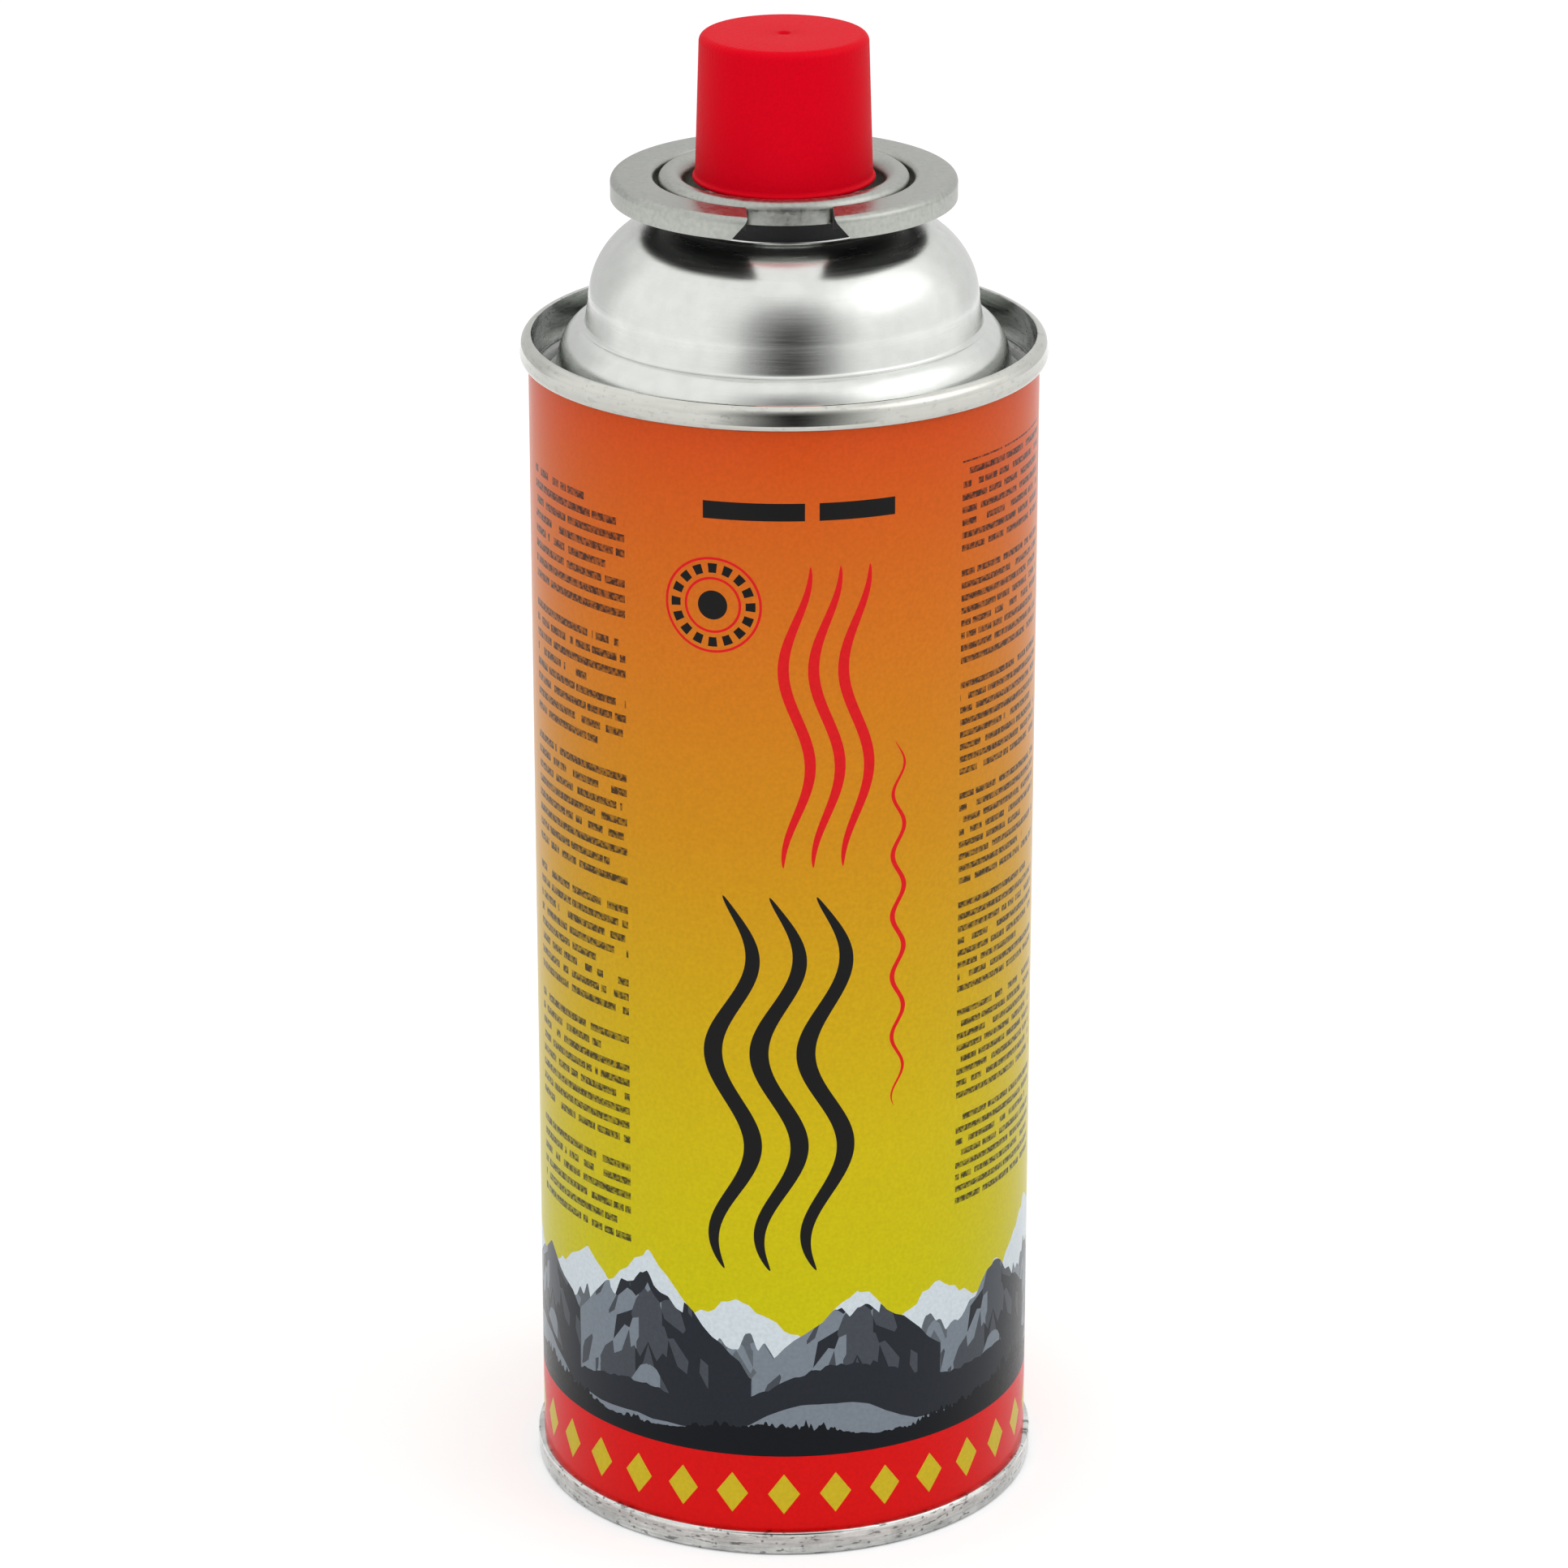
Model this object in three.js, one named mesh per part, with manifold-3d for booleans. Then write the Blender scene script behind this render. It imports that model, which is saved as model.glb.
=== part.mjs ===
// A butane gas cartridge for a camping stove: a sealed tinplate can, its valve, its collar and its cap.
// Millimetres, +Z up. The can stands on z = 0 with its axis on Z, and the notch of the collar faces -Y.
import * as THREE from "three";
import { mergeVertices } from "three/addons/utils/BufferGeometryUtils.js";
import Module from "manifold-3d";

const wasm = await Module();
wasm.setup();

// Fineness of the round shapes
const ROUND_SIDES = 48;
const SMALL_SIDES = 24;
const ARC_STEP_LENGTH = 2.6;
const ARC_STEPS_LEAST = 3;
const PORT_SIDES = 8;
const SPRING_STEPS_A_TURN = 14;
const SPRING_WIRE_STEPS = 3;

// How far a cutting shape runs past what it cuts
const CUT_PAST = 1.0;

// Clearances: between two fixed pieces, and round a moving piece
const SNUG = 0.1;
const RUNNING = 0.1;

// Can wall and its two double seams
const WALL_RADIUS = 32.65;
const WALL_HEIGHT = 151.3;
const BASE_SEAM_HEIGHT = 3.4;
const BASE_SEAM_STAND_OUT = 0.85;
const TOP_SEAM_HEIGHT = 3.5;
const TOP_SEAM_STAND_OUT = 1.1;
const SEAM_THICKNESS = 1.5;
const SEAM_EDGE = 0.5;

// Concave bottom of the can. Its line is given in shares of the dome's radius and rise
const BASE_WELL_DEPTH = 4.3;
const BASE_WELL_CORNER = 1.0;
const BASE_DOME_RISE = 8.0;
const BASE_DOME_LINE = [[0, 1], [0.35, 0.88], [0.7, 0.52]];

// Top end of the can: the groove inside the seam, the skirt and the round shoulder
const GROOVE_DEPTH = 6.4;
const GROOVE_WIDTH = 3.1;
const SKIRT_WIDTH = 3.7;
const SKIRT_HEIGHT = 6.4;
const SHOULDER_DRAFT = 0.5;
const SHOULDER_WALL_HEIGHT = 2.9;
const SHOULDER_RISE = 10.8;
const NECK_WALL = 0.8;
const NECK_HEIGHT = 4.4;

// Valve cup of the common one inch size, pressed from sheet and rolled over the neck
const CUP_CURL_RADIUS = 15.95;
const CUP_CURL_TUBE = 1.6;
const CUP_CURL_EDGE = 0.8;
const CUP_SHEET = 0.35;
const CUP_WALL_DROP = 1.3;
const CUP_WELL_DEPTH = 5.3;
const CUP_CORNER = 0.8;
const PEDESTAL_RADIUS = 5.6;
const PEDESTAL_HEIGHT = 5.7;
const CUP_GASKET_THICKNESS = 0.3;

// Collar pressed from sheet: a flat ring with a skirt outside, a hub inside and a foot under the curl
const COLLAR_RADIUS = 22.0;
const COLLAR_SHEET = 0.5;
const COLLAR_EDGE = 0.9;
const COLLAR_HEIGHT = 2.9;
const COLLAR_DROP = 0.4;
const COLLAR_HOLE_GAP = 0.6;
const NOTCH_WIDTH = 10.8;
const NOTCH_MOUTH_WIDTH = 14.8;
const NOTCH_FLARE_HEIGHT = 2.7;

// Valve inside the cup
const STEM_RADIUS = 1.9;
const STEM_BORE_RADIUS = 0.8;
const STEM_STAND_OUT = 6.7;
const STEM_TIP_EDGE = 0.3;
const STEM_SHOULDER_RADIUS = 3.0;
const STEM_SHOULDER_HEIGHT = 2.0;
const STEM_TAIL_RADIUS = 1.4;
const STEM_TAIL_LENGTH = 3.2;
const STEM_PORT_RADIUS = 0.35;
const STEM_GASKET_THICKNESS = 1.0;
const HOUSING_WALL = 0.9;
const HOUSING_RIM_HEIGHT = 4.6;
const HOUSING_BODY_RADIUS = 4.2;
const HOUSING_BODY_HEIGHT = 7.4;
const HOUSING_FLOOR = 1.2;
const HOUSING_TAIL_RADIUS = 2.0;
const HOUSING_TAIL_BORE = 1.0;
const HOUSING_TAIL_LENGTH = 4.5;
const VALVE_POCKET_GAP = 0.3;
const SPRING_WIRE = 0.5;
const SPRING_TURNS = 5;

// Cap
const CAP_RIM_RADIUS = 11.6;
const CAP_RIM_BEAD = 0.35;
const CAP_RIM_EASE = 0.175;
const CAP_RIM_DROP = 1.0;
const CAP_FOOT_RADIUS = 11.25;
const CAP_TOP_RADIUS = 10.72;
const CAP_HEIGHT = 18.7;
const CAP_TOP_EDGE = 1.0;
const CAP_WALL = 1.2;
const CAP_SLEEVE_WALL = 1.0;
const CAP_SLEEVE_GRIP = 0.15;
const CAP_DIMPLE_RADIUS = 0.9;
const CAP_DIMPLE_FLOOR_RADIUS = 0.54;
const CAP_DIMPLE_DEPTH = 0.35;

// Heights and radii that follow from those sizes
const TOP_SEAM_BASE = BASE_SEAM_HEIGHT + WALL_HEIGHT;
const TOP_SEAM_TOP = TOP_SEAM_BASE + TOP_SEAM_HEIGHT;
const TOP_SEAM_RADIUS = WALL_RADIUS + TOP_SEAM_STAND_OUT;
const BASE_SEAM_RADIUS = WALL_RADIUS + BASE_SEAM_STAND_OUT;
const GROOVE_RADIUS = TOP_SEAM_RADIUS - SEAM_THICKNESS;
const SKIRT_RADIUS = GROOVE_RADIUS - GROOVE_WIDTH;
const GROOVE_FLOOR = TOP_SEAM_TOP - GROOVE_DEPTH;
const GROOVE_ROUND = GROOVE_WIDTH / 3;
const SKIRT_FOOT = GROOVE_FLOOR + GROOVE_ROUND;
const CREASE_RADIUS = SKIRT_RADIUS - SKIRT_WIDTH;
const CREASE = SKIRT_FOOT + SKIRT_HEIGHT;
const SHOULDER_RADIUS = CREASE_RADIUS - SHOULDER_DRAFT;
const SHOULDER_BASE = CREASE + SHOULDER_WALL_HEIGHT;
const NECK_BASE = SHOULDER_BASE + SHOULDER_RISE;
const CURL_CENTRE = NECK_BASE + NECK_HEIGHT;
const CURL_TOP = CURL_CENTRE + CUP_CURL_TUBE;
const CURL_MIDDLE_RADIUS = CUP_CURL_RADIUS - CUP_CURL_TUBE;
const WELL_RADIUS = CURL_MIDDLE_RADIUS - CUP_CURL_TUBE;
const NECK_BORE = WELL_RADIUS + CUP_SHEET + SNUG;
const NECK_RADIUS = NECK_BORE + NECK_WALL;
const CURL_INSIDE = CUP_CURL_TUBE - CUP_SHEET;
const BEAD_TUBE = CURL_INSIDE - SNUG - CUP_GASKET_THICKNESS - SNUG;
const WELL_FLOOR = CURL_TOP - CUP_WELL_DEPTH;
const PEDESTAL_TOP = WELL_FLOOR + PEDESTAL_HEIGHT;
const STEM_HOLE_RADIUS = STEM_RADIUS + RUNNING + SNUG;
const VALVE_RADIUS = PEDESTAL_RADIUS - CUP_SHEET - VALVE_POCKET_GAP;
const STEM_GASKET_TOP = PEDESTAL_TOP - CUP_SHEET - SNUG;
const STEM_GASKET_BASE = STEM_GASKET_TOP - STEM_GASKET_THICKNESS;
const HOUSING_TOP = STEM_GASKET_BASE - SNUG;
const HOUSING_STEP = HOUSING_TOP - HOUSING_RIM_HEIGHT;
const HOUSING_BASE = HOUSING_STEP - HOUSING_BODY_HEIGHT;
const HOUSING_TAIL = HOUSING_BASE - HOUSING_TAIL_LENGTH;
const HOUSING_BORE = HOUSING_BODY_RADIUS - HOUSING_WALL;
const STEM_SHOULDER_TOP = STEM_GASKET_BASE - RUNNING;
const STEM_SHOULDER_BASE = STEM_SHOULDER_TOP - STEM_SHOULDER_HEIGHT;
const STEM_TOP = PEDESTAL_TOP + STEM_STAND_OUT;
const COLLAR_TOP = CURL_TOP - COLLAR_DROP;
const COLLAR_BASE = COLLAR_TOP - COLLAR_HEIGHT;
const COLLAR_HOLE = CUP_CURL_RADIUS + COLLAR_HOLE_GAP;
const CURL_LIP = CURL_CENTRE - CUP_WALL_DROP;
const CAP_RIM = CURL_TOP - CAP_RIM_DROP;
const CAP_TOP = CAP_RIM + CAP_HEIGHT;
const CAP_CEILING = CAP_TOP - CAP_WALL;
const SLEEVE_BORE = PEDESTAL_RADIUS + CAP_SLEEVE_GRIP;
const SLEEVE_FOOT = WELL_FLOOR + CUP_CORNER;

// Points along an arc in the plane of a profile, as [radius, height], with angles in degrees
function arc(centreRadius, centreHeight, radius, fromAngle, toAngle, rise = radius) {
  const length = Math.abs(THREE.MathUtils.degToRad(toAngle - fromAngle)) * Math.max(radius, rise);
  const steps = Math.max(ARC_STEPS_LEAST, Math.ceil(length / ARC_STEP_LENGTH));
  const points = [];
  for (let step = 0; step <= steps; step++) {
    const angle = THREE.MathUtils.degToRad(fromAngle + ((toAngle - fromAngle) * step) / steps);
    points.push([centreRadius + radius * Math.cos(angle), centreHeight + rise * Math.sin(angle)]);
  }
  return points;
}

// Section of a pressed sheet: the line of its right-hand face, and the same line moved in by its thickness
function sheetSection(face, thickness) {
  const back = face.map(([r, z], index) => {
    const before = face[Math.max(index - 1, 0)];
    const after = face[Math.min(index + 1, face.length - 1)];
    const into = [r - before[0], z - before[1]];
    const out = [after[0] - r, after[1] - z];
    const intoLength = Math.hypot(...into) || 1;
    const outLength = Math.hypot(...out) || 1;
    const along = [into[0] / intoLength + out[0] / outLength, into[1] / intoLength + out[1] / outLength];
    const length = Math.hypot(...along);
    const left = [-along[1] / length, along[0] / length];
    const reference = intoLength > 1e-9 && index > 0 ? into : out;
    const referenceLength = Math.hypot(...reference);
    const turn = (-left[0] * reference[1] + left[1] * reference[0]) / referenceLength;
    return [r + (left[0] * thickness) / turn, z + (left[1] * thickness) / turn];
  });
  return [...face, ...back.reverse()];
}

// Turns a profile about Z. A profile that leaves the axis is closed on itself, and its faces point out
function turned(profile, sides = ROUND_SIDES) {
  const points = profile.map(([r, z]) => new THREE.Vector2(Math.max(r, 0), z));
  const onAxis = points[0].x === 0 && points[points.length - 1].x === 0;
  if (!onAxis) {
    points.push(points[0].clone());
  }
  if (THREE.ShapeUtils.area(points) < 0) {
    points.reverse();
  }
  return new THREE.LatheGeometry(points, sides).rotateX(Math.PI / 2);
}

// A closed geometry as a solid that can be joined and cut
function solidOf(geometry) {
  const bare = geometry.clone();
  bare.deleteAttribute("normal");
  bare.deleteAttribute("uv");
  const merged = mergeVertices(bare);
  const vertProperties = merged.attributes.position.array;
  const triVerts = new Uint32Array(merged.index.array);
  return new wasm.Manifold(new wasm.Mesh({ numProp: 3, vertProperties, triVerts }));
}

// A solid as a geometry
function geometryOf(solid) {
  const { vertProperties, triVerts } = solid.getMesh();
  const geometry = new THREE.BufferGeometry();
  geometry.setAttribute("position", new THREE.BufferAttribute(vertProperties, 3));
  geometry.setIndex(new THREE.BufferAttribute(triVerts, 1));
  geometry.computeVertexNormals();
  return geometry;
}

// Sealed can: wall, both ends and contents as one solid, with the pocket under the valve cup
function canGeometry() {
  const wellRadius = BASE_SEAM_RADIUS - SEAM_THICKNESS;
  const domeRadius = wellRadius - BASE_WELL_CORNER;
  const dome = BASE_DOME_LINE.map(([out, up]) => [domeRadius * out, BASE_WELL_DEPTH + BASE_DOME_RISE * up]);
  const pocketRadius = HOUSING_BODY_RADIUS + VALVE_POCKET_GAP;
  const pocketFloor = HOUSING_TAIL - VALVE_POCKET_GAP;
  const neckFloor = WELL_FLOOR - CUP_SHEET - SNUG;
  return turned([
    ...dome,
    ...arc(domeRadius, BASE_WELL_DEPTH - BASE_WELL_CORNER, BASE_WELL_CORNER, 90, 0),
    [wellRadius, SEAM_EDGE],
    [wellRadius + SEAM_EDGE, 0],
    [BASE_SEAM_RADIUS - SEAM_EDGE, 0],
    [BASE_SEAM_RADIUS, SEAM_EDGE],
    [BASE_SEAM_RADIUS, BASE_SEAM_HEIGHT - SEAM_EDGE],
    [WALL_RADIUS, BASE_SEAM_HEIGHT],
    [WALL_RADIUS, TOP_SEAM_BASE],
    [TOP_SEAM_RADIUS, TOP_SEAM_BASE + SEAM_EDGE],
    [TOP_SEAM_RADIUS, TOP_SEAM_TOP - SEAM_EDGE],
    [TOP_SEAM_RADIUS - SEAM_EDGE, TOP_SEAM_TOP],
    [GROOVE_RADIUS + SEAM_EDGE, TOP_SEAM_TOP],
    [GROOVE_RADIUS, TOP_SEAM_TOP - SEAM_EDGE],
    ...arc((GROOVE_RADIUS + SKIRT_RADIUS) / 2, SKIRT_FOOT, GROOVE_WIDTH / 2, 0, -180, GROOVE_ROUND),
    ...arc(CREASE_RADIUS, SKIRT_FOOT, SKIRT_WIDTH, 20, 90, SKIRT_HEIGHT),
    ...arc(NECK_RADIUS, SHOULDER_BASE, SHOULDER_RADIUS - NECK_RADIUS, 0, 90, SHOULDER_RISE),
    [NECK_RADIUS, CURL_CENTRE - BEAD_TUBE],
    ...arc(CURL_MIDDLE_RADIUS, CURL_CENTRE, BEAD_TUBE, -60, 180),
    [NECK_BORE, CURL_CENTRE - BEAD_TUBE],
    [NECK_BORE, neckFloor],
    [pocketRadius, neckFloor],
    [pocketRadius, pocketFloor],
    [0, pocketFloor],
  ]);
}

// Valve cup: one sheet from the stem hole down the pedestal, across the well and up over the neck
function valveCupGeometry() {
  const lipRadius = CUP_CURL_RADIUS - CUP_SHEET;
  const lipFace = CURL_LIP + CUP_SHEET;
  return turned(
    sheetSection(
      [
        [lipRadius - CUP_SHEET, lipFace],
        [lipRadius, lipFace],
        [lipRadius, CURL_CENTRE],
        ...arc(CUP_CURL_RADIUS - CUP_CURL_EDGE, CURL_TOP - CUP_CURL_EDGE, CUP_CURL_EDGE - CUP_SHEET, 0, 90),
        ...arc(CURL_MIDDLE_RADIUS, CURL_CENTRE, CURL_INSIDE, 90, 180),
        ...arc(WELL_RADIUS - CUP_CORNER, WELL_FLOOR + CUP_CORNER, CUP_CORNER + CUP_SHEET, 0, -90),
        ...arc(PEDESTAL_RADIUS + CUP_CORNER, WELL_FLOOR + CUP_CORNER, CUP_CORNER + CUP_SHEET, -90, -180),
        ...arc(PEDESTAL_RADIUS - CUP_CORNER, PEDESTAL_TOP - CUP_CORNER, CUP_CORNER - CUP_SHEET, 0, 90),
        [STEM_HOLE_RADIUS, PEDESTAL_TOP - CUP_SHEET],
      ],
      -CUP_SHEET,
    ),
  );
}

// Ring that seals the cup's curl on the bead of the neck
function cupGasketGeometry() {
  const outer = CURL_INSIDE - SNUG;
  const inner = outer - CUP_GASKET_THICKNESS;
  const top = arc(CURL_MIDDLE_RADIUS, CURL_CENTRE, outer, 45, 135);
  const base = arc(CURL_MIDDLE_RADIUS, CURL_CENTRE, inner, 135, 45);
  return turned([...top, ...base]);
}

// Locating collar: flat ring, rounded edge, skirt, hub round the curl, foot under its lip and one notch
function collarGeometry() {
  const footTop = CURL_LIP - SNUG;
  const ring = turned(
    sheetSection(
      [
        [NECK_RADIUS + SNUG, footTop - COLLAR_SHEET],
        [COLLAR_HOLE + COLLAR_SHEET, footTop - COLLAR_SHEET],
        [COLLAR_HOLE + COLLAR_SHEET, COLLAR_TOP - COLLAR_SHEET],
        ...arc(COLLAR_RADIUS - COLLAR_EDGE, COLLAR_TOP - COLLAR_EDGE, COLLAR_EDGE - COLLAR_SHEET, 90, 0),
        [COLLAR_RADIUS - COLLAR_SHEET, COLLAR_BASE],
      ],
      COLLAR_SHEET,
    ),
  );
  const above = COLLAR_TOP + CUT_PAST;
  const below = COLLAR_BASE - CUT_PAST;
  const flareTop = COLLAR_BASE + NOTCH_FLARE_HEIGHT;
  const outline = new THREE.Shape([
    new THREE.Vector2(-NOTCH_WIDTH / 2, above),
    new THREE.Vector2(-NOTCH_WIDTH / 2, flareTop),
    new THREE.Vector2(-NOTCH_MOUTH_WIDTH / 2, COLLAR_BASE),
    new THREE.Vector2(-NOTCH_MOUTH_WIDTH / 2, below),
    new THREE.Vector2(NOTCH_MOUTH_WIDTH / 2, below),
    new THREE.Vector2(NOTCH_MOUTH_WIDTH / 2, COLLAR_BASE),
    new THREE.Vector2(NOTCH_WIDTH / 2, flareTop),
    new THREE.Vector2(NOTCH_WIDTH / 2, above),
  ]);
  const notch = new THREE.ExtrudeGeometry(outline, { depth: COLLAR_RADIUS + CUT_PAST, bevelEnabled: false });
  notch.rotateX(Math.PI / 2);
  return geometryOf(solidOf(ring).subtract(solidOf(notch)));
}

// Flat ring that seals round the stem
function stemGasketGeometry() {
  const bore = STEM_RADIUS + RUNNING;
  return turned(
    [
      [bore, STEM_GASKET_BASE],
      [VALVE_RADIUS, STEM_GASKET_BASE],
      [VALVE_RADIUS, STEM_GASKET_TOP],
      [bore, STEM_GASKET_TOP],
    ],
    SMALL_SIDES,
  );
}

// Moulded housing that holds the spring, hung in the pedestal by its rim
function valveHousingGeometry() {
  return turned(
    [
      [HOUSING_TAIL_BORE, HOUSING_TAIL],
      [HOUSING_TAIL_RADIUS, HOUSING_TAIL],
      [HOUSING_TAIL_RADIUS, HOUSING_BASE],
      [HOUSING_BODY_RADIUS, HOUSING_BASE],
      [HOUSING_BODY_RADIUS, HOUSING_STEP],
      [VALVE_RADIUS, HOUSING_STEP],
      [VALVE_RADIUS, HOUSING_TOP],
      [HOUSING_BORE, HOUSING_TOP],
      [HOUSING_BORE, HOUSING_BASE + HOUSING_FLOOR],
      [HOUSING_TAIL_BORE, HOUSING_BASE + HOUSING_FLOOR],
    ],
    SMALL_SIDES,
  );
}

// Hollow stem with a shoulder below the gasket, a side port at the gasket and a tail that guides the spring
function valveStemGeometry() {
  const portHeight = (STEM_GASKET_TOP + STEM_GASKET_BASE) / 2;
  const boreFloor = portHeight - STEM_BORE_RADIUS;
  const stem = turned(
    [
      [0, STEM_SHOULDER_BASE - STEM_TAIL_LENGTH],
      [STEM_TAIL_RADIUS, STEM_SHOULDER_BASE - STEM_TAIL_LENGTH],
      [STEM_TAIL_RADIUS, STEM_SHOULDER_BASE],
      [STEM_SHOULDER_RADIUS, STEM_SHOULDER_BASE],
      [STEM_SHOULDER_RADIUS, STEM_SHOULDER_TOP],
      [STEM_RADIUS, STEM_SHOULDER_TOP],
      [STEM_RADIUS, STEM_TOP - STEM_TIP_EDGE],
      [STEM_RADIUS - STEM_TIP_EDGE, STEM_TOP],
      [STEM_BORE_RADIUS, STEM_TOP],
      [STEM_BORE_RADIUS, boreFloor],
      [0, boreFloor],
    ],
    SMALL_SIDES,
  );
  const portLength = (STEM_RADIUS + CUT_PAST) * 2;
  const port = new THREE.CylinderGeometry(STEM_PORT_RADIUS, STEM_PORT_RADIUS, portLength, PORT_SIDES);
  port.translate(0, 0, portHeight);
  return geometryOf(solidOf(stem).subtract(solidOf(port)));
}

// Compression spring that seats on the housing's floor and pushes the stem's shoulder up
class SpringLine extends THREE.Curve {
  getPoint(t, target = new THREE.Vector3()) {
    const low = HOUSING_BASE + HOUSING_FLOOR + SNUG + SPRING_WIRE / 2;
    const high = STEM_SHOULDER_BASE - SNUG - SPRING_WIRE / 2;
    const radius = (HOUSING_BORE - RUNNING + STEM_TAIL_RADIUS + RUNNING) / 2;
    const angle = t * SPRING_TURNS * Math.PI * 2;
    return target.set(radius * Math.cos(angle), radius * Math.sin(angle), low + (high - low) * t);
  }
}

function springGeometry() {
  const section = new THREE.Shape();
  section.absarc(0, 0, SPRING_WIRE / 2, 0, Math.PI * 2);
  return new THREE.ExtrudeGeometry(section, {
    steps: SPRING_TURNS * SPRING_STEPS_A_TURN,
    curveSegments: SPRING_WIRE_STEPS,
    extrudePath: new SpringLine(),
  });
}

// Cap: a drafted cup with a beaded rim, a moulding dimple on top and a sleeve inside that grips the pedestal
function capGeometry() {
  return turned([
    [0, CAP_TOP - CAP_DIMPLE_DEPTH],
    [CAP_DIMPLE_FLOOR_RADIUS, CAP_TOP - CAP_DIMPLE_DEPTH],
    [CAP_DIMPLE_RADIUS, CAP_TOP],
    ...arc(CAP_TOP_RADIUS - CAP_TOP_EDGE, CAP_TOP - CAP_TOP_EDGE, CAP_TOP_EDGE, 90, 0),
    [CAP_FOOT_RADIUS, CAP_RIM + CAP_RIM_BEAD * 2 + CAP_RIM_EASE],
    ...arc(CAP_RIM_RADIUS - CAP_RIM_BEAD, CAP_RIM + CAP_RIM_BEAD, CAP_RIM_BEAD, 60, -90),
    [CAP_FOOT_RADIUS - CAP_WALL, CAP_RIM],
    [CAP_TOP_RADIUS - CAP_WALL, CAP_CEILING],
    [SLEEVE_BORE + CAP_SLEEVE_WALL, CAP_CEILING],
    [SLEEVE_BORE + CAP_SLEEVE_WALL, SLEEVE_FOOT],
    [SLEEVE_BORE, SLEEVE_FOOT],
    [SLEEVE_BORE, CAP_CEILING],
    [0, CAP_CEILING],
  ]);
}

// Finishes
const printedTinplate = new THREE.MeshStandardMaterial({ color: 0xe08a1e, roughness: 0.35, metalness: 0.2 });
const pressedSteel = new THREE.MeshStandardMaterial({ color: 0xb9bcb6, roughness: 0.38, metalness: 1 });
const brightTinplate = new THREE.MeshStandardMaterial({ color: 0xc8cac4, roughness: 0.25, metalness: 1 });
const redPlastic = new THREE.MeshStandardMaterial({ color: 0xd4000f, roughness: 0.5, metalness: 0 });
const blackRubber = new THREE.MeshStandardMaterial({ color: 0x1c1c1c, roughness: 0.85, metalness: 0 });
const whitePlastic = new THREE.MeshStandardMaterial({ color: 0xe8e6dc, roughness: 0.5, metalness: 0 });
const springWire = new THREE.MeshStandardMaterial({ color: 0xa7a9a8, roughness: 0.3, metalness: 1 });

function piece(name, geometry, material) {
  const mesh = new THREE.Mesh(geometry, material);
  mesh.name = name;
  return mesh;
}

const vessel = new THREE.Group();
vessel.add(piece("can", canGeometry(), printedTinplate));
vessel.add(piece("collar", collarGeometry(), pressedSteel));

const valve = new THREE.Group();
valve.add(piece("valve_cup", valveCupGeometry(), brightTinplate));
valve.add(piece("cup_gasket", cupGasketGeometry(), blackRubber));
valve.add(piece("stem_gasket", stemGasketGeometry(), blackRubber));
valve.add(piece("valve_housing", valveHousingGeometry(), whitePlastic));
valve.add(piece("valve_stem", valveStemGeometry(), whitePlastic));
valve.add(piece("valve_spring", springGeometry(), springWire));

const cartridge = new THREE.Group();
cartridge.add(vessel);
cartridge.add(valve);
cartridge.add(piece("cap", capGeometry(), redPlastic));

export default cartridge;
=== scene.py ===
"""Gas cartridge for a camping stove: printed tinplate can, locating collar, valve and push-on cap."""

import math
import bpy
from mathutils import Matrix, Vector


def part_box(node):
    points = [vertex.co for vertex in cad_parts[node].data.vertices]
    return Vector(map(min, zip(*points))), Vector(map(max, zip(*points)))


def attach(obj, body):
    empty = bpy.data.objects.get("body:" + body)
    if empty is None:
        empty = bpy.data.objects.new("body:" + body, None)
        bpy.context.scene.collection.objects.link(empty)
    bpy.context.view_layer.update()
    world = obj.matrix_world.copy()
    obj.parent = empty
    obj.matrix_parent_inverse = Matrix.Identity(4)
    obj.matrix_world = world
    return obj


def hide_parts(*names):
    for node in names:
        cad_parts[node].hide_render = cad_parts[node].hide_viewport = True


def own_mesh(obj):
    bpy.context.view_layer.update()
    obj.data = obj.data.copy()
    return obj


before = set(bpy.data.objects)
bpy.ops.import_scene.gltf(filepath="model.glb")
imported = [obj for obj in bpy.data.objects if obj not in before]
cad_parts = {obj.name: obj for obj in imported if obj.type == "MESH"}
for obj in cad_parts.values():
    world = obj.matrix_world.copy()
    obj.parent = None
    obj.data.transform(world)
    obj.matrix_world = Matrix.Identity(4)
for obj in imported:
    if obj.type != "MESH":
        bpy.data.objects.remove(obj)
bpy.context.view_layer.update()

from types import SimpleNamespace

import bpy
import numpy as np

bl_info = {
    "name": "Gas cartridge",
    "version": (1, 0, 0),
    "blender": (4, 5, 0),
    "location": "3D View > Sidebar > Cartridge",
    "description": "Makes a stove gas cartridge with its printed wall, collar, valve and cap",
    "category": "Add Mesh",
}

# Metres in one millimetre
MM = 0.001

# Columns round the axis, and points in one eased corner
WALL_COLUMNS = 960
METAL_COLUMNS = 256
VALVE_COLUMNS = 96
COLLAR_COLUMNS = 320
EASE_STEPS = 7

# Sheet of the can, and its two double seams, in mm
CAN_SHEET = 0.35
SEAM_THICKNESS = 1.5
TOP_SEAM_HEIGHT = 3.5
BASE_SEAM_HEIGHT = 3.4
SEAM_EDGE = 0.45
SEAM_HEM_HEIGHT = 0.85
SEAM_HEM_WALL = 1.0
SEAM_HEM_LEAN = 0.13
SEAM_HEM_DROP = 0.3
SEAM_HEM_CURL = 0.6
SEAM_HEM_LIP = 0.12
BASE_SEAM_LEAN = 0.18

# Top end of the can, in mm
GROOVE_WIDTH = 3.1
SKIRT_WIDTH = 3.7
SKIRT_HEIGHT = 6.4
SHOULDER_DRAFT = 0.5
SHOULDER_WALL_HEIGHT = 2.9
SHOULDER_RISE = 10.8
NECK_WALL = 0.8
NECK_HEIGHT = 4.4

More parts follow.
